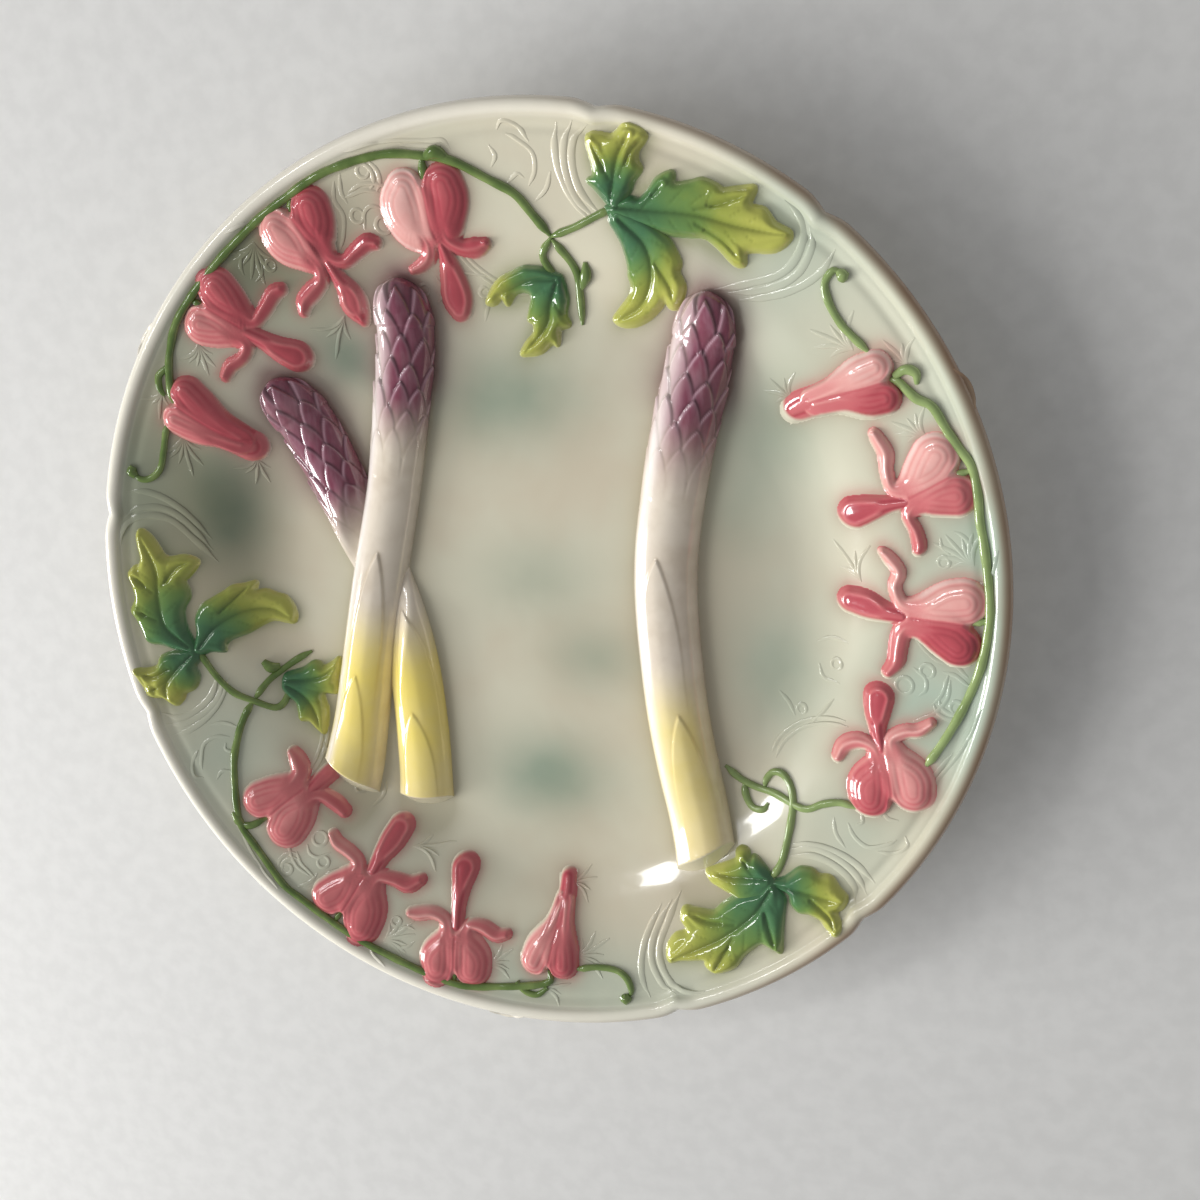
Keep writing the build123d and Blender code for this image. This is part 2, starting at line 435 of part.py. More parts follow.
def make_sketches():
    """Flat shapes of all the low ornament, by name, with the height that each is raised to."""
    flowers = {"upper": (UPPER_FLOWER_1, UPPER_FLOWER_2, UPPER_FLOWER_3),
               "lower": (LOWER_FLOWER_1, LOWER_FLOWER_2, LOWER_FLOWER_3),
               "right": (RIGHT_FLOWER_1, RIGHT_FLOWER_2, RIGHT_FLOWER_3)}
    buds = {"upper_bud": UPPER_BUD, "lower_bud": LOWER_BUD, "right_bud": RIGHT_BUD}
    leaves = {"upper_leaflet_top": UPPER_LEAFLET_TOP, "upper_leaflet_side": UPPER_LEAFLET_SIDE,
              "upper_leaflet_inner": UPPER_LEAFLET_INNER, "upper_small_leaf": UPPER_SMALL_LEAF,
              "left_leaflet_top": LEFT_LEAFLET_TOP, "left_leaflet_inner": LEFT_LEAFLET_INNER,
              "left_leaflet_low": LEFT_LEAFLET_LOW, "left_small_leaf": LEFT_SMALL_LEAF,
              "lower_leaflet_side": LOWER_LEAFLET_SIDE, "lower_leaflet_inner": LOWER_LEAFLET_INNER,
              "lower_leaflet_top": LOWER_LEAFLET_TOP}
    stems = {"upper_stem": UPPER_STEM, "left_stem": LEFT_STEM, "lower_stem": LOWER_STEM}
    vines = {"upper_vine": UPPER_VINE, "lower_vine": LOWER_VINE, "right_vine": RIGHT_VINE}
    tendrils = {"upper_tendril": (UPPER_TENDRIL,), "lower_tendril": (LOWER_TENDRIL,),
                "right_tendril": (RIGHT_TENDRIL,)}
    blossoms = {f"{spray}_flower_{number}": strokes
                for spray, in_spray in flowers.items()
                for number, strokes in enumerate(in_spray, start=1)}
    sketches = {}
    for group, rise in ((blossoms, FLOWER_RISE), (buds, BUD_RISE), (leaves, LEAF_RISE)):
        for name, strokes in group.items():
            sketches[name] = (joined([stroke_face(stroke) for stroke in strokes]), rise)
    for group, half_width in ((stems, STEM_HALF_WIDTH), (vines, VINE_HALF_WIDTH), (tendrils, TENDRIL_HALF_WIDTH)):
        for name, lines in group.items():
            sketches[name] = (joined([line_face(line, half_width) for line in lines]), STEM_RISE)
    for panel, turn in PANEL_TURNS.items():
        for side, lines in (("left", SCROLL_LEFT), ("right", SCROLL_RIGHT)):
            sketch = Rot(0, 0, turn) * joined([line_face(line, SCROLL_HALF_WIDTH) for line in lines])
            sketches[f"{panel}_scroll_{side}"] = (sketch, SCROLL_RISE)
    return sketches


def make_nodes():
    """All pieces of the plate by name, each cut back to those made before it."""
    underground = make_underground()
    front = make_spear(SPEAR_LEFT_FRONT, SPEAR_RISE, underground)
    nodes = {"plate_body": make_plate(),
             "spear_right": make_spear(SPEAR_RIGHT, SPEAR_RISE, underground),
             "spear_left_front": front,
             "spear_left_back": make_spear(SPEAR_LEFT_BACK, BACK_SPEAR_RISE, underground) - front}
    placed = [spear_footprint(stations) for stations in (SPEAR_RIGHT, SPEAR_LEFT_FRONT, SPEAR_LEFT_BACK)]
    layers = {}
    for name, (sketch, rise) in make_sketches().items():
        if rise not in layers:
            layers[rise] = make_layer(rise)
        faces = cut_back(sketch, placed)
        nodes[name] = raise_faces(faces, layers[rise])
        placed.extend(faces)
    return nodes


os.makedirs("parts", exist_ok=True)
for node_name, shape in make_nodes().items():
    export_step(shape, f"parts/{node_name}.step")
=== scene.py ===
"""Glazed looks of a moulded asparagus plate: spears, flower sprays, leaves and scroll lines on a round dish.

Strokes and lines are drawn in millimetres in the plate's plan, with +Y at the top of the design. Meshes are
in metres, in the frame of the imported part.
"""
import logging
import math
from dataclasses import dataclass, field
from enum import Enum
from typing import Iterable, Mapping, Sequence, Union

import bpy
import numpy as np
from mathutils import Matrix, Vector


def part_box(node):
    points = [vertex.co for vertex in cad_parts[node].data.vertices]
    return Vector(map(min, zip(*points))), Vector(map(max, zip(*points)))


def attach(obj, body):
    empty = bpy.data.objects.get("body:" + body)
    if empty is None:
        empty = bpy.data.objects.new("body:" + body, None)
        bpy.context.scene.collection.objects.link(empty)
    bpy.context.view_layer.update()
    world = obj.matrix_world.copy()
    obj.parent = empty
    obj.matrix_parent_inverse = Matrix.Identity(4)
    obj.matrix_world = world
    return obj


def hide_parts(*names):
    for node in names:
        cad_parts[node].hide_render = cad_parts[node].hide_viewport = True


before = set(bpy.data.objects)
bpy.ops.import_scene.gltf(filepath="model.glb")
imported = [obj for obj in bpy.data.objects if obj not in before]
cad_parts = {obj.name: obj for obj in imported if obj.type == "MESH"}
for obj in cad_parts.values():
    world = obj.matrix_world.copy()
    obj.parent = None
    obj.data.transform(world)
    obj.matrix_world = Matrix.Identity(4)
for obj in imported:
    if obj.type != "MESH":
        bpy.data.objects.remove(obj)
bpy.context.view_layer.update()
LOG = logging.getLogger("asparagus_plate")

MM = 0.001

Station = tuple[float, float, float]
Point = tuple[float, float]
Colour = tuple[float, float, float]
Marks = dict[str, np.ndarray]

# Strokes are lists of (x, y, half width): two petals that end in a curled wing, and the tail
FLOWER_STROKES = {
    "upper_flower_1": (
        [(-20.9, 101.3, 4.6), (-21.7, 97.5, 5.9), (-20.6, 93.0, 5.0), (-18.2, 89.0, 2.6), (-18.8, 85.8, 1.6),
         (-21.0, 84.0, 1.4), (-23.6, 83.0, 0.9)],
        [(-11.0, 101.6, 4.8), (-10.8, 98.5, 5.0), (-12.0, 93.5, 3.9), (-12.4, 89.6, 2.3), (-9.6, 87.3, 1.9),
         (-6.2, 87.1, 2.2), (-3.4, 87.8, 1.2)],
        [(-14.6, 89.0, 1.2), (-14.1, 84.6, 2.1), (-14.1, 80.0, 3.3), (-14.2, 75.6, 4.0), (-13.9, 72.6, 2.9)]),
    "upper_flower_2": (
        [(-55.2, 95.0, 4.6), (-53.2, 92.0, 5.4), (-50.0, 88.6, 3.6), (-47.2, 85.0, 1.8), (-47.4, 82.0, 1.7),
         (-50.2, 79.6, 2.2), (-52.9, 77.2, 2.0), (-53.8, 74.6, 1.2)],
        [(-45.6, 99.2, 4.7), (-45.4, 96.2, 4.6), (-44.8, 91.4, 2.6), (-43.4, 87.4, 1.7), (-40.2, 86.2, 1.6),
         (-36.6, 88.4, 1.9), (-33.4, 90.2, 2.0), (-31.2, 90.0, 1.4)],
        [(-44.2, 86.0, 1.4), (-42.6, 82.0, 1.9), (-40.9, 78.2, 3.0), (-40.8, 75.2, 3.2), (-39.8, 71.4, 1.3)]),
    "upper_flower_3": (
        [(-74.4, 81.8, 4.8), (-72.8, 79.0, 4.6), (-69.4, 74.8, 2.8), (-66.6, 73.2, 1.6), (-63.4, 76.2, 1.8),
         (-60.4, 79.6, 1.9), (-58.2, 80.6, 1.5)],
        [(-80.0, 73.0, 4.8), (-77.2, 72.0, 4.4), (-73.2, 70.2, 2.8), (-70.2, 67.2, 1.6), (-72.0, 64.2, 1.5),
         (-75.6, 62.2, 1.7), (-77.6, 59.6, 1.4)],
        [(-70.6, 71.0, 2.0), (-65.6, 68.0, 2.3), (-62.0, 65.4, 3.2), (-58.8, 63.6, 4.1)]),
    "lower_flower_1": (
        [(-83.4, -59.4, 4.9), (-79.6, -58.2, 4.8), (-74.6, -55.6, 3.0), (-72.4, -52.4, 2.4),
         (-73.4, -49.0, 2.0), (-74.6, -46.6, 1.2)],
        [(-76.2, -67.8, 5.4), (-74.2, -64.6, 5.4), (-70.6, -60.6, 3.0), (-67.0, -59.4, 1.8),
         (-63.2, -61.6, 1.9), (-60.2, -64.4, 1.5)],
        [(-70.4, -58.4, 1.8), (-67.6, -56.0, 2.4), (-64.6, -53.4, 2.6)]),
    "lower_flower_2": (
        [(-64.4, -87.4, 4.9), (-61.6, -85.8, 4.9), (-57.4, -81.8, 2.8), (-56.2, -78.2, 1.7),
         (-58.6, -75.4, 1.7), (-62.0, -72.8, 1.7), (-63.4, -70.2, 1.2)],
        [(-55.0, -95.8, 5.0), (-54.0, -91.6, 5.6), (-52.4, -86.0, 3.4), (-49.8, -82.6, 2.0),
         (-45.6, -83.2, 1.9), (-41.6, -84.6, 2.3), (-38.2, -83.4, 1.6)],
        [(-51.6, -80.6, 2.0), (-49.4, -76.6, 2.6), (-46.6, -72.6, 3.6), (-44.6, -69.4, 3.6)]),
    "lower_flower_3": (
        [(-32.6, -106.4, 4.8), (-32.4, -103.4, 4.9), (-30.4, -98.4, 2.6), (-30.6, -94.2, 1.6),
         (-34.2, -92.2, 1.7), (-38.2, -92.4, 2.0), (-40.8, -92.2, 1.3)],
        [(-22.4, -106.6, 4.7), (-22.4, -103.8, 4.7), (-24.2, -98.6, 2.6), (-23.2, -95.2, 1.6),
         (-19.6, -95.6, 1.9), (-15.8, -97.6, 1.9), (-12.8, -97.2, 1.4)],
        [(-27.2, -95.4, 1.8), (-26.9, -90.4, 1.9), (-26.3, -85.4, 2.6), (-25.6, -80.4, 3.9)]),
    "right_flower_1": (
        [(97.4, -48.2, 4.9), (96.8, -45.0, 5.0), (93.8, -40.4, 2.8), (92.4, -36.2, 1.7), (95.6, -33.9, 1.6),
         (99.0, -33.2, 1.5), (101.8, -31.0, 1.0)],
        [(87.0, -51.0, 4.8), (87.2, -48.0, 4.9), (88.8, -43.0, 2.7), (88.0, -38.8, 1.6), (84.4, -37.6, 1.9),
         (80.8, -39.2, 1.8), (79.0, -42.4, 1.3)],
        [(90.0, -39.0, 1.4), (89.0, -34.0, 1.9), (89.0, -29.8, 3.0), (89.4, -26.0, 3.6)]),
    "right_flower_2": (
        [(109.2, -0.8, 5.0), (106.2, -1.4, 4.8), (100.4, -3.0, 3.0), (95.4, -2.4, 1.7), (93.4, 1.6, 1.4),
         (94.4, 5.4, 1.5), (92.2, 8.6, 1.5), (90.6, 10.2, 0.9)],
        [(107.8, -11.4, 4.8), (105.6, -9.8, 4.8), (100.4, -7.8, 3.0), (95.6, -8.6, 2.2), (94.2, -12.6, 2.1),
         (93.6, -16.6, 1.9), (91.6, -19.6, 1.3)],
        [(95.0, -5.2, 2.2), (90.6, -4.6, 2.6), (86.4, -3.4, 3.6), (82.8, -2.8, 3.4)]),
    "right_flower_3": (
        [(102.8, 33.2, 4.9), (101.2, 30.6, 4.6), (97.2, 26.4, 2.6), (93.2, 25.6, 1.5), (91.8, 29.6, 1.4),
         (91.6, 33.8, 1.7), (89.8, 37.2, 1.5), (89.0, 38.6, 1.0)],
        [(107.0, 24.2, 4.7), (104.4, 23.8, 4.2), (99.8, 22.4, 2.6), (96.8, 19.2, 1.4), (98.4, 15.4, 1.4),
         (99.2, 12.2, 1.5), (98.9, 10.8, 1.2)],
        [(96.2, 22.4, 1.7), (92.0, 21.6, 2.1), (87.6, 20.4, 3.2), (84.0, 19.2, 4.0)]),
    "upper_bud": (
        [(-88.2, 55.9, 4.3), (-86.0, 52.4, 4.4), (-82.0, 47.4, 3.6), (-77.5, 43.0, 3.0)],
        [(-92.0, 49.0, 4.2), (-88.2, 46.8, 4.0), (-83.0, 44.4, 3.0), (-77.5, 41.6, 2.8)],
        [(-84.0, 46.4, 4.4), (-79.6, 43.4, 3.9), (-75.6, 40.6, 4.1)]),
    "lower_bud": (
        [(-4.2, -103.0, 4.2), (-2.6, -99.6, 4.2), (1.2, -93.4, 2.6), (3.6, -87.4, 2.0)],
        [(4.0, -103.6, 4.2), (4.0, -99.6, 3.9), (4.0, -93.4, 2.6), (4.2, -87.4, 2.2)],
        [(2.4, -97.0, 3.6), (3.6, -90.6, 2.8), (4.4, -85.4, 2.4), (4.5, -81.8, 2.1)]),
    "right_bud": (
        [(89.4, 53.6, 4.0), (85.6, 52.0, 4.0), (79.6, 48.8, 2.8), (74.0, 46.6, 2.4)],
        [(91.4, 46.6, 3.9), (87.6, 46.0, 4.0), (81.4, 46.2, 2.8), (75.6, 45.2, 2.6)],
        [(82.6, 48.4, 3.9), (77.0, 46.8, 3.5), (72.2, 45.2, 3.6), (70.0, 44.2, 3.2)]),
}

# Leaflets: a midrib stroke, then its side lobes
LEAF_STROKES = {
    "upper_leaflet_top": (
        [(29.8, 94.2, 1.4), (31.2, 99.0, 5.0), (33.0, 104.0, 4.6), (36.2, 108.4, 1.6)],
        [(30.4, 99.5, 3.4), (28.4, 104.0, 2.8), (26.8, 108.0, 0.9)],
        [(33.0, 100.0, 3.2), (36.2, 104.6, 2.6), (39.4, 107.4, 1.0)]),
    "upper_leaflet_side": (
        [(31.5, 93.2, 2.2), (40.0, 91.8, 5.6), (50.0, 90.0, 6.2), (60.0, 86.6, 4.8), (70.4, 84.0, 1.0)],
        [(37.5, 92.5, 3.4), (42.6, 97.0, 1.9)],
        [(50.0, 91.0, 4.2), (57.0, 92.0, 3.4), (63.0, 93.2, 1.0)],
        [(50.0, 88.0, 3.4), (56.0, 83.6, 3.4), (59.6, 79.4, 1.2)]),
    "upper_leaflet_inner": (
        [(31.6, 90.4, 2.0), (37.0, 84.4, 5.0), (37.6, 77.6, 5.4), (34.2, 71.0, 4.0), (28.0, 67.4, 1.2)],
        [(39.0, 80.0, 5.0), (41.6, 75.0, 3.6), (42.2, 71.6, 1.8)]),
    "upper_small_leaf": (
        [(12.6, 78.2, 1.6), (6.4, 78.4, 3.6), (0.6, 76.6, 3.9), (-5.6, 74.2, 1.3)],
        [(12.8, 77.4, 1.6), (10.4, 72.4, 4.4), (8.8, 67.0, 4.0), (3.0, 61.2, 1.2)],
        [(11.4, 73.0, 2.6), (13.4, 69.4, 1.2)]),
    "left_leaflet_top": (
        [(-99.4, -14.4, 1.6), (-105.0, -8.0, 5.2), (-105.8, 0.0, 6.4), (-105.4, 8.0, 5.0),
         (-107.6, 17.6, 1.2)],
        [(-104.0, 4.0, 4.0), (-99.4, 8.6, 2.8), (-95.6, 9.8, 1.0)],
        [(-107.0, 2.0, 4.0), (-111.2, 6.8, 2.0)],
        [(-107.0, -6.0, 3.4), (-111.4, -3.2, 1.8)]),
    "left_leaflet_inner": (
        [(-96.4, -14.6, 1.8), (-91.4, -9.0, 5.8), (-84.6, -5.6, 5.8), (-77.8, -5.6, 4.0), (-73.2, -8.0, 1.8)],
        [(-90.0, -5.0, 4.0), (-86.0, -1.4, 2.8), (-82.4, 1.8, 1.0)]),
    "left_leaflet_low": (
        [(-99.0, -16.8, 1.6), (-103.4, -20.6, 4.8), (-106.8, -25.0, 4.4), (-106.4, -29.4, 1.2)],
        [(-104.5, -20.0, 3.6), (-110.0, -22.2, 2.6), (-113.6, -21.0, 0.9)],
        [(-106.0, -23.5, 3.0), (-111.0, -26.4, 1.3)]),
    "left_small_leaf": (
        [(-76.0, -26.4, 1.6), (-70.6, -26.8, 3.4), (-64.6, -25.6, 3.4), (-60.6, -22.4, 1.2)],
        [(-75.4, -28.0, 1.8), (-71.0, -31.6, 4.0), (-68.4, -36.0, 3.9), (-66.8, -41.4, 1.1)]),
    "lower_leaflet_side": (
        [(61.6, -78.0, 1.8), (57.0, -85.0, 6.0), (49.0, -91.6, 6.4), (41.6, -95.8, 3.6), (35.2, -99.0, 1.0)],
        [(52.0, -88.0, 4.2), (44.6, -88.0, 3.0), (39.8, -86.8, 1.0)],
        [(51.5, -91.5, 4.4), (48.4, -97.4, 3.4), (46.4, -100.6, 1.1)],
        [(60.0, -84.0, 4.2), (61.6, -89.0, 2.8), (62.8, -92.6, 1.0)]),
    "lower_leaflet_inner": (
        [(60.2, -75.4, 1.6), (55.0, -75.6, 4.8), (50.6, -76.0, 3.2), (46.4, -75.6, 1.0)],
        [(57.0, -74.8, 3.0), (54.0, -71.4, 1.6)]),
    "lower_leaflet_top": (
        [(62.8, -76.6, 1.3), (69.6, -77.2, 5.0), (75.6, -78.0, 4.4), (79.6, -78.0, 1.8)],
        [(72.0, -78.6, 4.2), (76.4, -82.2, 2.4), (78.2, -85.4, 0.9)]),
}

# Outlines of the leaflets with their lobes and teeth
LEAF_OUTLINES = {
    "upper_leaflet_top": (
        (31.0, 91.4), (28.2, 95.5), (26.1, 98.2), (24.8, 99.8), (26.6, 101.4), (25.8, 108.2), (26.8, 109.5),
        (29.0, 109.4), (31.9, 108.8), (35.0, 110.3), (37.4, 109.9), (40.0, 107.8), (37.7, 105.0),
        (37.3, 102.8), (38.0, 101.0), (36.0, 98.8), (34.8, 96.6), (33.0, 94.2)),
    "upper_leaflet_side": (
        (28.4, 93.6), (34.4, 95.2), (36.8, 94.6), (39.3, 96.4), (41.7, 98.8), (45.3, 99.7), (45.7, 97.3),
        (49.0, 97.2), (52.2, 97.5), (55.2, 96.1), (57.0, 94.9), (60.4, 95.0), (64.2, 94.6), (62.9, 91.2),
        (66.0, 89.9), (68.2, 86.8), (71.6, 84.5), (71.0, 82.4), (67.5, 80.7), (61.4, 81.0), (60.5, 78.2),
        (58.0, 78.7), (54.6, 82.6), (51.5, 85.0), (47.2, 85.6), (42.9, 86.4), (36.4, 88.6), (29.4, 91.6)),
    "upper_leaflet_inner": (
        (29.6, 94.2), (29.0, 90.6), (30.1, 88.1), (31.3, 85.0), (31.9, 80.7), (31.6, 77.7), (31.9, 74.9),
        (30.5, 72.6), (27.6, 69.7), (26.2, 67.8), (28.0, 66.2), (31.3, 65.9), (35.0, 67.2), (38.0, 69.4),
        (39.9, 71.2), (40.8, 69.9), (42.4, 69.5), (44.5, 71.8), (45.4, 74.6), (44.4, 77.7), (45.1, 79.8),
        (44.2, 82.6), (42.6, 85.6), (38.0, 90.0), (33.0, 92.8)),
    "upper_small_leaf": (
        (13.9, 79.0), (9.8, 81.0), (6.7, 81.6), (4.3, 81.7), (1.0, 80.6), (-2.2, 79.4), (-4.8, 77.0),
        (-6.7, 73.8), (-4.6, 73.4), (-2.6, 74.8), (-1.2, 73.0), (1.0, 75.4), (3.7, 76.0), (5.4, 74.6),
        (4.3, 70.9), (3.9, 69.0), (5.3, 67.8), (4.9, 65.4), (3.0, 63.6), (1.2, 60.7), (3.7, 60.3),
        (6.7, 60.8), (9.6, 62.8), (11.2, 62.4), (12.0, 66.0), (14.6, 67.1), (13.8, 69.7), (14.7, 73.4),
        (14.3, 77.6)),
    "left_leaflet_top": (
        (-97.0, -16.6), (-99.8, -10.0), (-100.4, -5.5), (-99.9, -3.0), (-98.3, -0.4), (-98.1, 1.6),
        (-98.8, 4.4), (-97.2, 5.9), (-94.5, 9.3), (-95.7, 10.8), (-98.2, 11.5), (-101.7, 11.2),
        (-103.3, 12.2), (-104.3, 14.5), (-105.8, 17.6), (-107.9, 19.6), (-109.2, 18.4), (-109.4, 15.3),
        (-109.2, 11.7), (-110.1, 9.7), (-111.8, 9.2), (-113.4, 7.2), (-112.8, 3.6), (-112.5, 0.6),
        (-114.0, -3.0), (-113.1, -5.5), (-111.8, -9.0), (-110.6, -12.2), (-106.8, -13.3), (-103.3, -14.8)),
    "left_leaflet_inner": (
        (-99.4, -16.8), (-97.4, -11.1), (-97.2, -6.5), (-95.2, -3.0), (-91.6, -0.9), (-89.1, 0.4),
        (-87.0, 1.7), (-84.0, 1.9), (-81.3, 2.2), (-81.6, -0.2), (-78.9, -0.4), (-76.4, -1.7),
        (-73.9, -2.7), (-72.1, -5.5), (-71.7, -8.5), (-72.6, -10.1), (-74.9, -9.8), (-77.9, -9.0),
        (-80.5, -9.8), (-84.5, -11.8), (-88.6, -13.1), (-90.3, -14.7), (-90.7, -16.5), (-94.1, -16.1),
        (-96.7, -16.8)),
    "left_leaflet_low": (
        (-97.2, -14.4), (-101.7, -15.4), (-105.3, -15.9), (-107.8, -16.9), (-109.2, -19.4), (-111.9, -20.2),
        (-115.0, -20.1), (-114.1, -22.2), (-113.0, -24.7), (-111.7, -27.8), (-108.3, -28.8), (-105.2, -30.9),
        (-103.3, -29.5), (-102.3, -27.6), (-99.7, -26.3), (-98.3, -23.2), (-98.9, -20.2), (-97.4, -17.8)),
    "left_small_leaf": (
        (-76.8, -26.4), (-76.0, -24.9), (-73.4, -24.2), (-70.8, -23.5), (-68.3, -21.9), (-66.3, -22.0),
        (-64.8, -23.1), (-62.2, -22.0), (-60.0, -20.6), (-60.4, -23.7), (-61.5, -26.8), (-62.1, -30.9),
        (-66.0, -31.1), (-65.2, -35.9), (-65.7, -40.9), (-66.5, -42.6), (-68.3, -41.0), (-70.3, -38.7),
        (-72.5, -38.2), (-73.0, -35.9), (-73.6, -33.3), (-75.4, -31.3), (-76.9, -28.8)),
    "lower_leaflet_inner": (
        (63.2, -76.4), (60.0, -72.6), (57.5, -70.5), (56.0, -71.1), (55.5, -69.4), (54.0, -68.9),
        (52.5, -70.1), (52.3, -72.1), (49.6, -73.6), (46.2, -75.1), (44.2, -76.2), (45.4, -78.3),
        (48.1, -79.5), (51.1, -80.7), (54.6, -82.0), (58.0, -81.0), (61.5, -79.0)),
    "lower_leaflet_side": (
        (61.8, -74.6), (58.5, -78.6), (53.6, -80.4), (49.0, -83.6), (46.2, -85.9), (41.7, -85.9),
        (38.2, -85.9), (37.4, -89.0), (38.9, -91.6), (35.8, -93.1), (33.9, -95.8), (33.5, -98.7),
        (34.3, -100.3), (36.8, -99.5), (40.3, -99.0), (43.6, -98.6), (44.4, -100.2), (46.7, -101.5),
        (49.6, -100.7), (52.1, -99.2), (54.1, -96.3), (56.5, -94.0), (59.0, -92.2), (60.7, -92.6),
        (64.0, -94.0), (64.5, -91.3), (64.8, -86.4), (65.2, -82.5), (65.4, -80.0), (63.9, -77.8)),
    "lower_leaflet_top": (
        (60.2, -76.4), (64.9, -75.0), (66.9, -73.6), (69.4, -71.7), (72.3, -71.6), (74.3, -72.7),
        (77.3, -72.8), (79.2, -75.1), (81.2, -77.3), (80.2, -80.0), (78.6, -81.6), (79.6, -84.4),
        (78.5, -86.8), (76.3, -85.9), (74.3, -83.9), (71.8, -82.9), (68.9, -82.8), (67.0, -81.0),
        (66.4, -78.8), (63.9, -77.6)),
}

# Vines run along the rim with a short stalk to each flower
VINES = {
    "upper_vine": (
        [(13.3, 88.5), (9.8, 93.6), (6.1, 98.5), (0.0, 102.3), (-7.7, 106.8), (-14.5, 108.6), (-25.8, 109.8),
         (-40.3, 107.1), (-52.1, 101.8), (-62.5, 95.8), (-75.1, 86.3), (-86.0, 75.5), (-90.7, 66.6),
         (-92.6, 57.0), (-92.6, 53.0)],
        [(-15.4, 108.7), (-15.6, 104.5), (-15.9, 101.0)],
        [(-50.6, 102.4), (-51.0, 98.0)],
        [(-82.4, 79.6), (-78.8, 77.6)]),
    "lower_vine": (
        [(-84.5, -31.5), (-87.0, -35.9), (-89.1, -41.5), (-90.7, -50.3), (-89.9, -65.1), (-85.7, -73.0),
         (-78.4, -83.4), (-72.6, -88.4), (-62.1, -96.0), (-51.7, -102.0), (-37.2, -108.2), (-25.0, -111.6),
         (-12.1, -111.1), (-0.6, -109.2), (-0.2, -106.0)],
        [(-89.7, -66.0), (-86.7, -66.9), (-82.0, -65.0)],
        [(-63.4, -95.0), (-61.0, -92.0)],
        [(-28.0, -110.8), (-27.6, -106.6)]),
    "right_vine": (
        [(100.4, -42.0), (104.7, -35.1), (108.2, -28.4), (111.4, -21.1), (113.4, -14.4), (114.6, -7.1),
         (114.9, -2.1), (114.4, 5.2), (113.4, 13.2), (112.5, 18.7), (112.0, 24.7), (110.7, 30.8),
         (107.6, 35.4), (105.1, 39.4), (102.1, 44.5), (98.5, 46.5), (94.5, 50.4), (92.0, 50.6)],
        [(114.7, -5.0), (110.6, -6.0)],
        [(110.6, 30.0), (106.0, 28.2)]),
}
TENDRILS = {
    "upper_tendril": ([(-95.2, 48.6), (-96.6, 45.2), (-98.0, 40.8), (-99.8, 36.2), (-102.5, 33.8),
                       (-105.2, 33.5), (-107.5, 35.3)],),
    "lower_tendril": ([(7.2, -105.2), (13.6, -104.0), (19.1, -104.3), (22.2, -106.2), (23.4, -109.2),
                       (22.5, -111.1)],),
    "right_tendril": ([(88.4, 57.0), (84.3, 61.2), (81.8, 64.2), (79.5, 68.8), (78.8, 72.9), (80.8, 75.6),
                       (82.6, 74.9)],),
}

# Leaf stalks of the three panels
STEMS = {
    "upper_stem": (
        [(13.4, 88.2), (20.2, 89.9), (26.4, 92.1), (30.2, 93.2)],
        [(13.4, 88.0), (10.4, 84.4), (11.0, 81.3), (13.0, 78.4)],
        [(13.6, 87.6), (17.8, 80.7), (18.1, 74.6), (17.8, 66.9)]),
    "left_stem": (
        [(-97.8, -15.6), (-94.1, -22.7), (-89.6, -28.3), (-84.5, -31.3), (-78.9, -34.0), (-76.4, -32.3),
         (-75.6, -28.6)],
        [(-84.3, -31.2), (-80.5, -26.3), (-76.4, -23.2), (-72.4, -20.7), (-68.3, -18.7)]),
    "lower_stem": (
        [(61.5, -76.0), (64.4, -71.1), (65.9, -65.7), (67.1, -59.3), (67.4, -54.8), (66.4, -51.4),
         (64.4, -49.4), (62.0, -49.4), (60.2, -51.4), (59.6, -54.0)],
        [(49.1, -48.9), (53.1, -52.1), (57.5, -53.8), (62.5, -54.6), (70.3, -56.8), (75.3, -54.8),
         (79.7, -53.8), (84.0, -54.6)],
        [(54.1, -52.6), (54.6, -56.3), (56.5, -59.0), (59.5, -59.0), (60.7, -57.3)]),
}

# Paired scroll lines on both sides of a panel, drawn once and turned to the three panels
SCROLL_LEFT = (
    [(19.0, 112.8), (17.8, 107.7), (18.4, 101.4), (21.0, 95.4), (24.6, 90.2)],
    [(22.8, 112.8), (20.2, 108.6), (19.6, 102.8), (21.2, 96.6), (25.6, 91.0)],
    [(26.4, 111.6), (22.7, 109.0), (21.5, 104.0), (22.7, 97.9), (27.0, 91.8)],
)
SCROLL_RIGHT = (
    [(70.6, 91.4), (73.6, 88.4), (74.8, 84.6), (73.0, 79.5), (68.7, 75.8), (61.3, 74.3), (52.6, 73.2)],
    [(76.1, 85.4), (76.3, 81.0), (72.8, 75.6), (66.3, 72.9), (56.0, 72.2)],
    [(81.4, 80.0), (78.4, 75.8), (73.4, 72.8), (67.0, 71.2), (58.6, 70.4)],
)
PANEL_TURNS = {"upper": 0.0, "left": 120.0, "lower": 240.0}

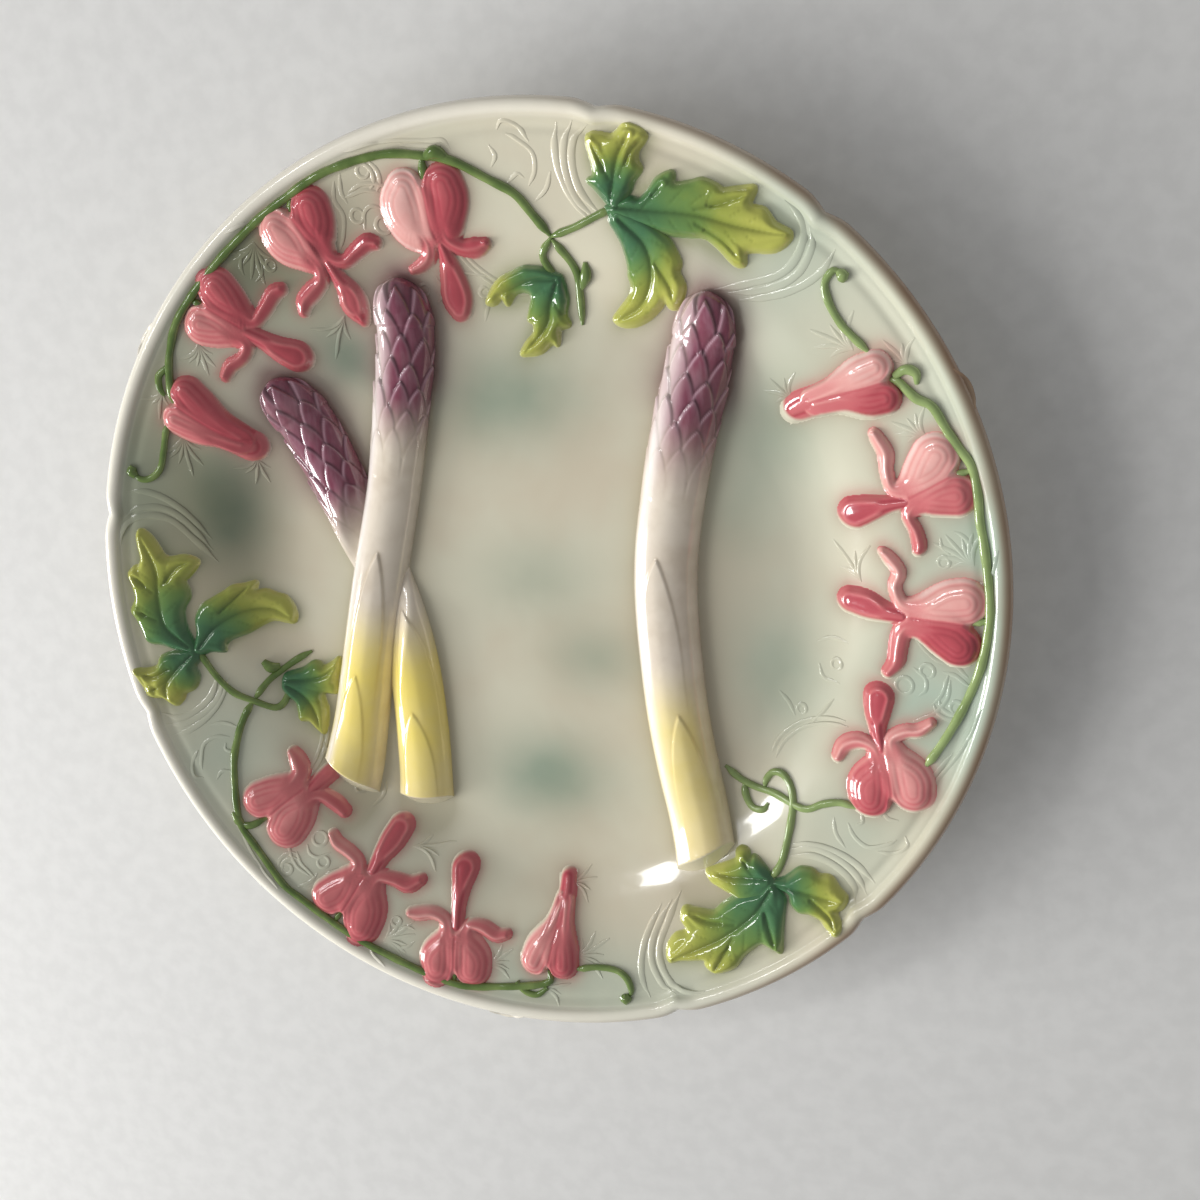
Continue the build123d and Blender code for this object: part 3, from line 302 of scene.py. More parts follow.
# Knots, curls and small bracts on the vines and stalks
KNOTS = {
    "upper_vine": ([(-9.2, 107.6, 1.0), (-11.6, 109.2, 1.7), (-14.2, 108.4, 1.2)],
                   [(-92.4, 62.8, 0.8), (-95.0, 60.8, 1.0), (-95.4, 57.6, 0.9), (-94.6, 55.6, 0.5)]),
    "lower_vine": ([(-9.6, -109.6, 0.8), (-7.0, -112.2, 0.9), (-3.6, -112.8, 0.9), (-0.6, -110.6, 0.6)],
                   [(-91.4, -62.8, 0.9), (-90.0, -65.4, 1.4), (-88.6, -67.2, 0.8)]),
    "right_vine": ([(93.8, 51.6, 0.9), (96.4, 53.0, 1.2), (98.6, 52.0, 1.1), (98.8, 49.6, 0.5)],),
    "upper_tendril": ([(-106.6, 34.4, 0.9), (-107.5, 35.8, 1.5), (-106.9, 37.2, 0.9)],),
    "lower_tendril": ([(22.9, -110.6, 0.9), (21.8, -111.6, 1.5), (20.6, -110.9, 0.9)],),
    "right_tendril": ([(81.9, 75.4, 0.8), (82.9, 74.3, 1.5), (82.5, 73.2, 0.9)],),
    "upper_stem": ([(18.4, 75.4, 0.7), (20.4, 78.6, 1.5), (20.8, 81.8, 0.5)],),
    "left_stem": ([(-81.6, -20.6, 0.9), (-79.6, -22.6, 1.7), (-77.4, -22.4, 0.8)],),
}

# Fine lines in the ground of the upper spray, drawn once and turned to the three sprays
SWIRLS = (
    [(-38.6, 105.0), (-39.6, 101.0), (-38.2, 97.2), (-39.2, 92.8), (-41.0, 89.0)],
    [(-36.8, 106.6), (-37.4, 102.6), (-36.4, 99.6)],
    [(-31.2, 108.6), (-28.9, 107.0), (-28.7, 104.2), (-30.4, 102.0)],
    [(-29.2, 108.9), (-27.3, 106.8), (-27.1, 104.0), (-28.6, 101.6)],
    [(-37.0, 101.0), (-31.5, 102.4), (-27.8, 101.6)],
    [(-33.4, 93.4), (-32.8, 97.2), (-30.4, 98.8), (-27.8, 98.0)],
    [(-34.0, 111.2), (-27.0, 112.6), (-20.0, 112.8), (-13.8, 112.2), (-9.4, 111.6), (-7.9, 109.6)],
    [(-20.4, 111.6), (-14.0, 110.9), (-10.0, 110.6)],
    [(1.4, 104.8), (2.9, 107.4), (1.8, 109.6)],
    [(4.8, 101.0), (7.6, 103.0), (9.2, 101.8)],
    [(-24.4, 71.3), (-27.7, 74.1), (-28.9, 78.0)],
    [(-20.0, 74.5), (-17.6, 77.5), (-18.6, 81.1)],
    [(-68.5, 95.0), (-62.0, 97.2), (-57.5, 95.0)],
    [(-99.0, 66.0), (-97.4, 70.6), (-93.6, 74.4)],
    [(-35.7, 102.1), (-31.5, 103.9), (-26.4, 103.2), (-21.8, 100.2)],
    [(8.2, 77.2), (3.0, 77.2), (-3.0, 79.4), (-7.8, 83.7), (-10.7, 88.2)],
    [(7.5, 75.7), (2.4, 75.7), (-3.6, 78.0), (-8.6, 82.5), (-11.5, 87.0)],
    [(-14.3, 82.0), (-9.9, 81.6), (-5.0, 80.4)],
    [(-7.9, 69.3), (-6.5, 73.2), (-4.4, 76.0)],
    [(10.0, 100.0), (12.1, 103.4), (12.1, 107.3), (8.5, 110.6), (6.3, 111.6)],
    [(11.7, 109.4), (9.3, 113.3), (5.7, 114.6), (4.2, 112.7)],
    [(11.0, 96.5), (14.2, 99.1), (15.9, 102.5)],
    [(-67.0, 84.6), (-67.3, 87.1), (-65.9, 91.1)],
    [(-64.2, 83.0), (-62.6, 84.5), (-61.8, 86.8)],
)
SPRAYS = {"upper": "upper_spray", "left": "lower_spray", "lower": "right_spray"}
RING_BERRIES = ((-34.6, 96.8, 1.6), (-28.4, 94.2, 2.0), (-30.8, 106.8, 1.5),
                (-59.6, 86.7, 1.3), (-22.5, 78.4, 1.3), (-7.0, 76.7, 1.2))

# Spears, from the tip to the cut end
SPEAR_RIGHT = [(50.6, 72.2, 2.4), (49.9, 66.6, 6.2), (47.8, 58.4, 7.9), (40.2, 30.0, 8.3), (35.8, 4.0, 8.3),
               (36.2, -24.0, 8.3), (38.9, -48.0, 8.4), (44.9, -78.0, 8.6)]
SPEAR_LEFT_FRONT = [(-28.2, 80.6, 2.4), (-28.6, 74.4, 6.2), (-30.0, 62.0, 7.6), (-37.0, 30.0, 7.5),
                    (-45.2, 0.0, 7.7), (-52.8, -30.0, 7.9), (-60.1, -60.8, 8.5)]
SPEAR_LEFT_BACK = [(-66.0, 57.0, 2.8), (-63.4, 52.0, 6.4), (-58.2, 41.6, 7.7), (-49.4, 20.0, 7.7),
                   (-42.2, 0.0, 7.8), (-38.0, -18.0, 7.8), (-36.6, -40.0, 7.8), (-37.2, -63.8, 7.9)]


class Glaze(Enum):
    """The coloured glazes of the plate, by their material slot."""

    CREAM = "cream_glaze"
    SPEAR = "spear_glaze"
    PINK = "pink_glaze"
    LEAF = "leaf_glaze"
    STEM = "stem_glaze"


class Blossom(Enum):
    """How far a heart flower is open."""

    OPEN = "open"
    BUD = "bud"


def ease(low: float, high: float, x: np.ndarray) -> np.ndarray:
    """Soft step from 0 to 1.

    Args:
        low: Where the step starts.
        high: Where the step ends; below low for a falling step.
        x: Values to step.

    Returns:
        The stepped values.
    """
    t = np.clip((x - low) / (high - low), 0.0, 1.0)
    return t * t * (3.0 - 2.0 * t)


def bell(x: np.ndarray, width: float) -> np.ndarray:
    """Round bump of height 1 at 0, with the given half width."""
    return np.exp(-(x / width) ** 2)


def smooth_path(points: Sequence[Sequence[float]], step: float) -> np.ndarray:
    """Run a smooth curve through drawn points.

    Args:
        points: Drawn points, as (x, y) or (x, y, half width).
        step: Spacing along the curve, in millimetres.

    Returns:
        Points of the curve, one row each, with as many columns as were given.
    """
    p = np.asarray(points, float)
    ends = np.vstack([2 * p[0] - p[1], p, 2 * p[-1] - p[-2]])
    rows = []
    for a, b, c, d in zip(ends, ends[1:], ends[2:], ends[3:]):
        count = max(2, math.ceil(np.hypot(*(c - b)[:2]) / step))
        t = np.linspace(0.0, 1.0, count, endpoint=False)[:, None]
        rows.append(0.5 * (2 * b + (c - a) * t + (2 * a - 5 * b + 4 * c - d) * t ** 2
                           + (3 * b - a - 3 * c + d) * t ** 3))
    return np.vstack([*rows, p[-1:]])


def run_length(path: np.ndarray) -> np.ndarray:
    """Distance along a path, in millimetres, at each of its points."""
    steps = np.hypot(*np.diff(path[:, :2], axis=0).T)
    return np.concatenate([[0.0], np.cumsum(steps)])


def turn_line(line: Sequence[Point], turn: float) -> list[Point]:
    """A line of the plan, turned by degrees about the plate's middle."""
    c, s = math.cos(math.radians(turn)), math.sin(math.radians(turn))
    return [(c * x - s * y, s * x + c * y) for x, y in line]


@dataclass
class PlateForm:
    """Turned form of the dish, in millimetres, and the height of its upper side."""

    radius: float = field(default_factory=lambda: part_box("plate_body")[1].x / MM)
    well_radius: float = 68.0
    bend_radius: float = 31.0
    floor_top: float = 8.5
    floor_thickness: float = 5.0
    wall_angle: float = math.radians(30.0)
    wall_width: float = 3.0
    shoulder_radius: float = 45.0
    rim_angle: float = math.radians(16.5)
    rim_thickness: float = 4.6
    lip_width: float = 4.4
    lip_rise: float = 0.9
    lip_drop: float = 1.6
    foot_radius: float = 71.0
    foot_width: float = 5.0
    foot_draft: float = 1.2
    nick_pair_angles: tuple[float, ...] = (62.0, 182.0, 302.0)
    nick_half_spread: float = 14.0
    nick_depth: float = 1.3
    nick_width: float = 12.0
    nick_reach: float = 13.0
    groove_radius: float = 113.2
    groove_depth: float = 0.4
    groove_width: float = 1.3

    def corners(self) -> tuple[Point, Point, Point]:
        """Find the corners of the upper side.

        Returns:
            Foot and head of the wall and start of the rim, as (radius, height).
        """
        wall, rim = self.wall_angle, self.rim_angle
        foot = (self.well_radius + self.bend_radius * math.sin(wall),
                self.floor_top + self.bend_radius * (1.0 - math.cos(wall)))
        head = (foot[0] + self.wall_width, foot[1] + self.wall_width * math.tan(wall))
        start = (head[0] + self.shoulder_radius * (math.sin(wall) - math.sin(rim)),
                 head[1] + self.shoulder_radius * (math.cos(rim) - math.cos(wall)))
        return foot, head, start

    def slope(self, r: np.ndarray) -> np.ndarray:
        """Height of the straight rim slope at a radius."""
        start_r, start_z = self.corners()[2]
        return start_z + math.tan(self.rim_angle) * (r - start_r)

    def lip_circle(self) -> tuple[float, float, float]:
        """Circle of the lip's bead.

        Returns:
            Radius and height of its centre, and its own radius.
        """
        places = self.radius - self.lip_width, self.radius - self.lip_width / 2, self.radius
        heights = (self.slope(places[0]), self.slope(places[1]) + self.lip_rise,
                   self.slope(places[2]) - self.lip_drop)
        a = np.array([[2 * p, 2 * h, 1.0] for p, h in zip(places, heights)])
        b = np.array([p * p + h * h for p, h in zip(places, heights)])
        centre_r, centre_z, rest = np.linalg.solve(a, b)
        return centre_r, centre_z, math.sqrt(rest + centre_r ** 2 + centre_z ** 2)

    def top(self, r: np.ndarray) -> np.ndarray:
        """Height of the upper side at a radius.

        Args:
            r: Radii in millimetres.

        Returns:
            Heights over the foot, in millimetres.
        """
        foot, head, start = self.corners()
        inside = np.clip(r - self.well_radius, 0.0, foot[0] - self.well_radius)
        bend = self.floor_top + self.bend_radius - np.sqrt(self.bend_radius ** 2 - inside ** 2)
        wall = foot[1] + math.tan(self.wall_angle) * (r - foot[0])
        bulge = self.shoulder_radius
        back = np.clip(head[0] + bulge * math.sin(self.wall_angle) - r, 0.0, bulge)
        shoulder = head[1] - bulge * math.cos(self.wall_angle) + np.sqrt(bulge ** 2 - back ** 2)
        z = np.select([r < foot[0], r < head[0], r < start[0]], [bend, wall, shoulder], self.slope(r))
        lip_r, lip_z, lip_radius = self.lip_circle()
        lip = lip_z + np.sqrt(np.maximum(lip_radius ** 2 - (r - lip_r) ** 2, 0.0))
        z = z - self.groove_depth * bell(r - self.groove_radius, self.groove_width)
        return np.where(r > self.radius - self.lip_width, lip, z)

    def nick(self, angle: np.ndarray) -> np.ndarray:
        """Find the nicks in the rim.

        Args:
            angle: Angles in radians.

        Returns:
            How far the rim is drawn in there, in millimetres.
        """
        drawn_in = np.zeros_like(angle)
        for pair in self.nick_pair_angles:
            for side in (-1, 1):
                off = angle - math.radians(pair + side * self.nick_half_spread)
                off = (off + math.pi) % (2 * math.pi) - math.pi
                arc = np.abs(off) * self.radius / (self.nick_width / 2)
                drawn_in += self.nick_depth * np.clip(1.0 - arc, 0.0, 1.0) ** 1.5
        return drawn_in

    def nick_share(self, r: np.ndarray) -> np.ndarray:
        """Share of a nick that a radius follows, from none inside to all at the lip."""
        return ease(self.radius - self.nick_reach, self.radius - self.lip_width / 2, r)

    def ground(self, x: np.ndarray, y: np.ndarray) -> np.ndarray:
        """Find the upper side, nicks included.

        Args:
            x: Plan places to the right.
            y: Plan places upwards.

        Returns:
            Heights over the foot, in millimetres.
        """
        r = np.hypot(x, y)
        drawn_in = self.nick(np.arctan2(y, x)) * self.nick_share(r)
        return self.top(np.minimum(r + drawn_in, self.radius - 0.01))


@dataclass
class StrokeReading:
    """Where points lie against a stroke, in millimetres."""

    gap: np.ndarray
    reach: np.ndarray
    width: np.ndarray
    along: np.ndarray
    run: np.ndarray
    side: np.ndarray


@dataclass
class Stroke:
    """A drawn stroke with round ends and a half width that changes along it."""

    stations: Sequence[Station]
    step: float = 0.7
    path: np.ndarray = field(init=False)
    run: np.ndarray = field(init=False)

    def __post_init__(self) -> None:
        """Run the smooth middle line once."""
        self.path = smooth_path(self.stations, self.step)
        self.path[:, 2] = np.maximum(self.path[:, 2], 0.3)
        self.run = run_length(self.path)

    def box(self, margin: float) -> np.ndarray:
        """Lowest and highest corner of the stroke's plan, as two rows."""
        reach = self.path[:, 2:] + margin
        return np.array([(self.path[:, :2] - reach).min(0), (self.path[:, :2] + reach).max(0)])

    def read(self, x: np.ndarray, y: np.ndarray) -> StrokeReading:
        """Measure points against the stroke.

        Args:
            x: Plan places to the right.
            y: Plan places upwards.

        Returns:
            The gap to the outline (negative inside), the distance to the middle line, the half width there,
            the share and length along the stroke, and the signed distance to the side (left is positive).
        """
        best = np.full(x.shape, np.inf)
        reach, width, run, side = (np.zeros(x.shape) for _ in range(4))
        for a, b, start in zip(self.path, self.path[1:], self.run):
            way = b[:2] - a[:2]
            length = math.hypot(*way)
            t = np.clip(((x - a[0]) * way[0] + (y - a[1]) * way[1]) / length ** 2, 0.0, 1.0)
            off_x, off_y = x - a[0] - t * way[0], y - a[1] - t * way[1]
            here = np.hypot(off_x, off_y)
            broad = a[2] + t * (b[2] - a[2])
            closer = here - broad < best
            best = np.where(closer, here - broad, best)
            reach = np.where(closer, here, reach)
            width = np.where(closer, broad, width)
            run = np.where(closer, start + t * length, run)
            side = np.where(closer, np.where(way[0] * off_y > way[1] * off_x, here, -here), side)
        return StrokeReading(best, reach, width, run / self.run[-1], run, side)


@dataclass
class Outline:
    """A closed outline in the plan."""

    corners: Sequence[Point]
    step: float = 0.5

    def gap(self, x: np.ndarray, y: np.ndarray) -> np.ndarray:
        """Measure places against the outline.

        Args:
            x: Plan places to the right.
            y: Plan places upwards.

        Returns:
            Distances from the outline, negative inside it.
        """
        path = smooth_path([*self.corners, self.corners[0]], self.step)
        nearest = np.full(x.shape, math.inf)
        within = np.zeros(x.shape, bool)
        for (x0, y0), (x1, y1) in zip(path, path[1:]):
            dx, dy = x1 - x0, y1 - y0
            share = np.clip(((x - x0) * dx + (y - y0) * dy) / max(dx * dx + dy * dy, 1e-9), 0.0, 1.0)
            nearest = np.minimum(nearest, np.hypot(x - x0 - share * dx, y - y0 - share * dy))
            if y0 != y1:
                within ^= ((y0 > y) != (y1 > y)) & (x < x0 + (y - y0) * dx / dy)
        return np.where(within, -nearest, nearest)


def set_marks(mesh: bpy.types.Mesh, marks: Marks) -> None:
    """Store what the glazes read.

    Args:
        mesh: Where it is stored.
        marks: Values per point, by name.
    """
    for mark, values in marks.items():
        layer = mesh.attributes.new(mark, "FLOAT", "POINT")
        layer.data.foreach_set("value", np.asarray(values, np.float32).ravel())


def mesh_from_arrays(name: str, points: np.ndarray, faces: Iterable[np.ndarray],
                     marks: Marks) -> bpy.types.Mesh:
    """Make a smooth mesh.

    Args:
        name: Name of the mesh.
        points: Places in millimetres, one row each.
        faces: Arrays of faces, each array with faces of one number of corners.
        marks: Values per point that the glazes read.

    Returns:
        The mesh, in metres.
    """
    groups = [np.asarray(group, np.int32) for group in faces if len(group)]
    corners = np.concatenate([group.ravel() for group in groups])
    sizes = np.concatenate([np.full(len(group), group.shape[1]) for group in groups])
    mesh = bpy.data.meshes.new(name)
    mesh.vertices.add(len(points))
    mesh.vertices.foreach_set("co", (points * MM).astype(np.float32).ravel())
    mesh.loops.add(len(corners))
    mesh.loops.foreach_set("vertex_index", corners.astype(np.int32))
    mesh.polygons.add(len(sizes))
    mesh.polygons.foreach_set("loop_start", np.concatenate([[0], np.cumsum(sizes)[:-1]]).astype(np.int32))
    mesh.update(calc_edges=True)
    mesh.shade_smooth()
    set_marks(mesh, marks)
    return mesh


def swept_faces(rows: int, columns: int) -> list[np.ndarray]:
    """Faces of a closed sweep.

    Args:
        rows: Number of rows of points.
        columns: Number of points round each row.

    Returns:
        The quads between the rows, and the fans from the first and last row to the two points after them.
    """
    number = np.arange(rows * columns).reshape(rows, columns)
    ahead = np.roll(number, -1, axis=1)
    quads = np.stack([number[:-1], number[1:], ahead[1:], ahead[:-1]], axis=-1).reshape(-1, 4)
    first = np.column_stack([number[0], ahead[0], np.full(columns, rows * columns)])
    last = np.column_stack([ahead[-1], number[-1], np.full(columns, rows * columns + 1)])
    return [quads, first, last]


def settle(name: str, mesh: bpy.types.Mesh, finish: bpy.types.Material, glaze: Glaze,
           nodes: Sequence[str] = ()) -> bpy.types.Object:
    """Put a finished mesh into the scene as a piece of the plate.

    Args:
        name: Name of the piece.
        mesh: Its mesh, in place.
        finish: Its material.
        glaze: The slot that the finish belongs to.
        nodes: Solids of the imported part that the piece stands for.

    Returns:
        The piece.
    """
    mesh.materials.clear()
    mesh.materials.append(finish)
    piece = bpy.data.objects.new(name, mesh)
    bpy.context.scene.collection.objects.link(piece)
    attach(piece, "root")
    if nodes:
        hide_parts(*nodes)
    LOG.info("%s: %d faces, %s", name, len(mesh.polygons), glaze.value)
    return piece


@dataclass
class ReliefGrid:
    """Square grid over a motif, on which its height over the plate is worked out."""

    x: np.ndarray
    y: np.ndarray

    @classmethod
    def around(cls, strokes: Iterable[Stroke], margin: float, step: float) -> "ReliefGrid":
        """Lay a grid over strokes.

        Args:
            strokes: The strokes to cover.
            margin: Room round them, in millimetres.
            step: Size of a cell, in millimetres.

        Returns:
            The grid.
        """
        corners = np.array([stroke.box(margin) for stroke in strokes])
        low, high = corners[:, 0].min(0), corners[:, 1].max(0)
        x, y = np.meshgrid(np.arange(low[0], high[0], step), np.arange(low[1], high[1], step))
        return cls(x, y)

    def mesh(self, name: str, form: PlateForm, height: np.ndarray, marks: Marks, skirt: float = 0.3,
             root: float = 1.0) -> bpy.types.Mesh:
        """Make the closed mesh of a relief that is rooted in the plate.

        Args:
            name: Name of the mesh.
            form: The dish under the relief.
            height: Height over the plate at each grid point; below 0 the relief has ended.
            marks: Values per grid point that the glaze reads.
            skirt: How far below the plate's surface the upper side is kept.
            root: Depth of the underside below the plate's surface.

        Returns:
            The mesh.
        """
        rows, columns = self.x.shape
        number = np.arange(rows * columns).reshape(rows, columns)
        quads = np.stack([number[:-1, :-1], number[:-1, 1:], number[1:, 1:], number[1:, :-1]], axis=-1)
        tallest = np.maximum.reduce([height[:-1, :-1], height[:-1, 1:], height[1:, 1:], height[1:, :-1]])
        kept = np.zeros((rows + 1, columns + 1), bool)
        kept[1:-1, 1:-1] = tallest > -skirt
        inner = kept[1:-1, 1:-1]
        walls = []
        for corner, (down, right) in enumerate(((-1, 0), (0, 1), (1, 0), (0, -1))):
            beside = kept[1 + down:rows + down, 1 + right:columns + right]
            open_quads = quads[inner & ~beside]
            walls.append(np.stack([open_quads[:, (corner + 1) % 4], open_quads[:, corner]], axis=-1))
        top = quads[inner]
        edge = np.concatenate(walls)
        used = np.unique(top)
        place = np.full(rows * columns, -1)
        place[used] = np.arange(len(used))
        ground = form.ground(self.x, self.y).ravel()[used]
        flat = np.stack([self.x.ravel()[used], self.y.ravel()[used]], axis=-1)
        raised = np.maximum(height.ravel()[used], -0.8 * root)
        points = np.vstack([np.column_stack([flat, ground + raised]), np.column_stack([flat, ground - root])])
        below = len(used)
        upper, rim = place[top], place[edge]
        faces = [upper, upper[:, ::-1] + below, np.column_stack([rim, rim[:, ::-1] + below])]
        both = {mark: np.tile(values.ravel()[used], 2) for mark, values in marks.items()}
        return mesh_from_arrays(name, points, faces, both)


class Value:
    """A shader value that takes part in Python arithmetic."""

    def __init__(self, book: "ShaderBook", socket: bpy.types.NodeSocket) -> None:
        """Wrap an output socket of a material's tree."""
        self.book = book
        self.socket = socket

    def maths(self, operation: str, *operands: "Number") -> "Value":
        """Add a Math node.

        Args:
            operation: What it does.
            operands: Its inputs, in order.

        Returns:
            Its result.
        """
        made = self.book.node("ShaderNodeMath", {"operation": operation}, dict(enumerate(operands)))
        return Value(self.book, made.outputs[0])

    def __add__(self, other: "Number") -> "Value":
        """Sum."""
        return self.maths("ADD", self, other)

    def __sub__(self, other: "Number") -> "Value":
        """Difference."""
        return self.maths("SUBTRACT", self, other)

    def __rsub__(self, other: "Number") -> "Value":
        """Difference, the other way round."""
        return self.maths("SUBTRACT", other, self)

    def __mul__(self, other: "Number") -> "Value":
        """Product."""
        return self.maths("MULTIPLY", self, other)

    __radd__ = __add__
    __rmul__ = __mul__

    def step(self, low: float, high: float) -> "Value":
        """Add a soft step from 0 to 1.

        Args:
            low: Where the step starts.
            high: Where it ends; below low for a falling step.

        Returns:
            The stepped value.
        """
        settings = {"interpolation_type": "SMOOTHSTEP"}
        sockets = {"Value": self, "From Min": low, "From Max": high}
        made = self.book.node("ShaderNodeMapRange", settings, sockets)
        return Value(self.book, made.outputs[0])


Number = Union[Value, float]
Link = Union[Value, bpy.types.NodeSocket, float, tuple]


def add_node(tree: bpy.types.NodeTree, kind: str, settings: Mapping[str, object],
             sockets: Mapping[Union[str, int], Link]) -> bpy.types.Node:
    """Add a node to a tree.

    Args:
        tree: The tree of a material or of Geometry Nodes.
        kind: Type of the node.
        settings: Its own settings, set first.
        sockets: Values or links of its inputs, by identifier, name or number.

    Returns:
        The node.
    """
    made = tree.nodes.new(kind)
    for key, setting in settings.items():
        setattr(made, key, setting)
    by_identifier = {socket.identifier: socket for socket in made.inputs}
    for key, link in sockets.items():
        socket = by_identifier[key] if key in by_identifier else made.inputs[key]
        if isinstance(link, Value):
            link = link.socket
        if isinstance(link, bpy.types.NodeSocket):
            tree.links.new(link, socket)
        else:
            socket.default_value = (*link, 1.0) if isinstance(link, tuple) else link
    return made


class ShaderBook:
    """A material and the nodes that are written into it."""

    def __init__(self, name: str) -> None:
        """Start an empty material with the given name."""
        self.material = bpy.data.materials.new(name)
        self.material.use_nodes = True
        self.tree = self.material.node_tree
        self.tree.nodes.clear()
        self.places = self.node("ShaderNodeTexCoord").outputs["Object"]

    def node(self, kind: str, settings: Mapping[str, object] = {}, sockets: Mapping = {}) -> bpy.types.Node:
        """Add a node to the material, with the arguments of add_node."""
        return add_node(self.tree, kind, settings, sockets)

    def mark(self, name: str) -> Value:
        """A value that the mesh carries at its points."""
        made = self.node("ShaderNodeAttribute", {"attribute_type": "GEOMETRY", "attribute_name": name})
        return Value(self, made.outputs["Fac"])

    def noise(self, size: float, detail: float = 2.0, stretch: Colour = (1.0, 1.0, 1.0)) -> Value:
        """Cloudy variation over the surface.

        Args:
            size: Width of a cloud, in millimetres.
            detail: Number of finer layers.
            stretch: How much closer the clouds lie along each axis.

        Returns:
            Values round a half.
        """
        turned = self.node("ShaderNodeMapping", {}, {"Vector": self.places})
        turned.inputs["Scale"].default_value = stretch
        sockets = {"Vector": turned.outputs[0], "Scale": 1.0 / (size * MM), "Detail": detail}
        return Value(self, self.node("ShaderNodeTexNoise", {}, sockets).outputs["Fac"])

    def specks(self, spacing: float, size: float, share: float) -> Value:
        """Small round specks.

        Args:
            spacing: Distance from speck to speck, in millimetres.
            size: Radius of a speck, in millimetres.
            share: Share of the places that have one.

        Returns:
            1 on a speck and 0 elsewhere.
        """
        cells = self.node("ShaderNodeTexVoronoi", {}, {"Vector": self.places, "Scale": 1.0 / (spacing * MM)})
        chance = self.node("ShaderNodeSeparateColor", {}, {0: cells.outputs["Color"]})
        near = Value(self, cells.outputs["Distance"]).step(size / spacing, 0.6 * size / spacing)
        return near * Value(self, chance.outputs[0]).step(share, share - 0.01)

    def blend(self, share: Number, under: Link, over: Link, mode: str = "MIX") -> bpy.types.NodeSocket:
        """Lay one colour over another.

        Args:
            share: How much of the upper colour shows.
            under: Lower colour.
            over: Upper colour.
            mode: How they blend.

        Returns:
            The blended colour.
        """
        settings = {"data_type": "RGBA", "blend_type": mode, "clamp_factor": True}
        sockets = {"Factor_Float": share, "A_Color": under, "B_Color": over}
        made = self.node("ShaderNodeMix", settings, sockets)
        return next(socket for socket in made.outputs if socket.identifier == "Result_Color")

    def ramp(self, value: Value, stops: Sequence[tuple[float, Colour]]) -> bpy.types.NodeSocket:
        """Add a colour that follows a value.

        Args:
            value: What it follows.
            stops: Values and their colours.

        Returns:
            The colour.
        """
        made = self.node("ShaderNodeValToRGB", {}, {0: value})
        elements = made.color_ramp.elements
        while len(elements) < len(stops):
            elements.new(1.0)
        for element, (place, colour) in zip(elements, stops):
            element.position = place
            element.color = (*colour, 1.0)
        return made.outputs["Color"]

    def glaze(self, colour: bpy.types.NodeSocket, height: Value, depth: float, roughness: Number,
              coat: float) -> bpy.types.Material:
        """Close the material as a fired glaze.

        Args:
            colour: Colour of the glaze over the body.
            height: Waviness of the glaze, from 0 to 1.
            depth: Depth of that waviness, in millimetres.
            roughness: Roughness of the glaze.
            coat: Strength of the clear, glassy top.

        Returns:
            The material.
        """
        waves = self.node("ShaderNodeBump", {}, {"Strength": 1.0, "Distance": depth * MM, "Height": height})
        shader = self.node("ShaderNodeBsdfPrincipled", {}, {
            "Base Color": colour, "Roughness": roughness, "IOR": 1.55, "Normal": waves.outputs[0],
            "Coat Weight": coat, "Coat Roughness": 0.04, "Coat IOR": 1.55})
        self.node("ShaderNodeOutputMaterial", {}, {"Surface": shader.outputs[0]})
        return self.material


def srgb(red: int, green: int, blue: int) -> Colour:
    """Linear colour of a screen colour with parts from 0 to 255."""
    parts = [part / 255.0 for part in (red, green, blue)]
    return tuple(p / 12.92 if p <= 0.04045 else ((p + 0.055) / 1.055) ** 2.4 for p in parts)


CREAM = srgb(219, 214, 191)


@dataclass(frozen=True)
class CreamGlaze:
    """Ivory glaze of the dish, with sponged green, pale washes, colour that ran from the motifs, and painted
    shade and highlight.
    """

    ivory: Colour = CREAM
    warm: Colour = srgb(214, 203, 179)
    wash: Colour = srgb(176, 190, 172)
    sponge_and_shade: Colour = srgb(132, 153, 133)
    blush: Colour = srgb(206, 138, 132)
    haze: Colour = srgb(140, 96, 106)
    green: Colour = srgb(150, 160, 110)
    pooled_and_shaded: Colour = srgb(168, 160, 138)
    painted_light_colour: Colour = srgb(248, 242, 227)
    worn_and_shade: Colour = srgb(158, 128, 100)
    speck: Colour = srgb(40, 34, 30)

    def make(self) -> bpy.types.Material:
        """Write the material.

        Returns:
            The material.
        """
        book = ShaderBook("cream_glaze")
        cloud = book.noise(34.0, 3.0)
        fine = book.noise(4.5, 3.0)
        colour = book.blend(cloud.step(0.38, 0.72), self.ivory, self.warm)
        uneven = 0.7 + 0.6 * book.noise(15.0, 2.0)
        for mark in ("wash", "sponge_and_shade", "green", "blush", "haze"):
            colour = book.blend(book.mark(mark) * uneven, colour, getattr(self, mark))
        # Darker round the motifs as pooled glaze and painted shade, and painted shade on the left of the dish
        colour = book.blend(book.mark("pool_and_shade"), colour, self.pooled_and_shaded, "MULTIPLY")
        # Painted highlight along the left and top of the lip
        colour = book.blend(book.mark("thin_and_highlight") * 0.8, colour, self.painted_light_colour)
        # Brown wear on the outer lip, with painted shade where it turns away from the light on the right
        colour = book.blend(book.mark("worn_and_shade") * uneven * 0.9, colour, self.worn_and_shade)
        colour = book.blend(book.specks(17.0, 0.42, 0.2), colour, self.speck)
        waves = book.noise(9.0, 2.0) * 0.8 + fine * 0.2
        return book.glaze(colour, waves, 0.10, 0.14 + 0.08 * fine, 0.7)


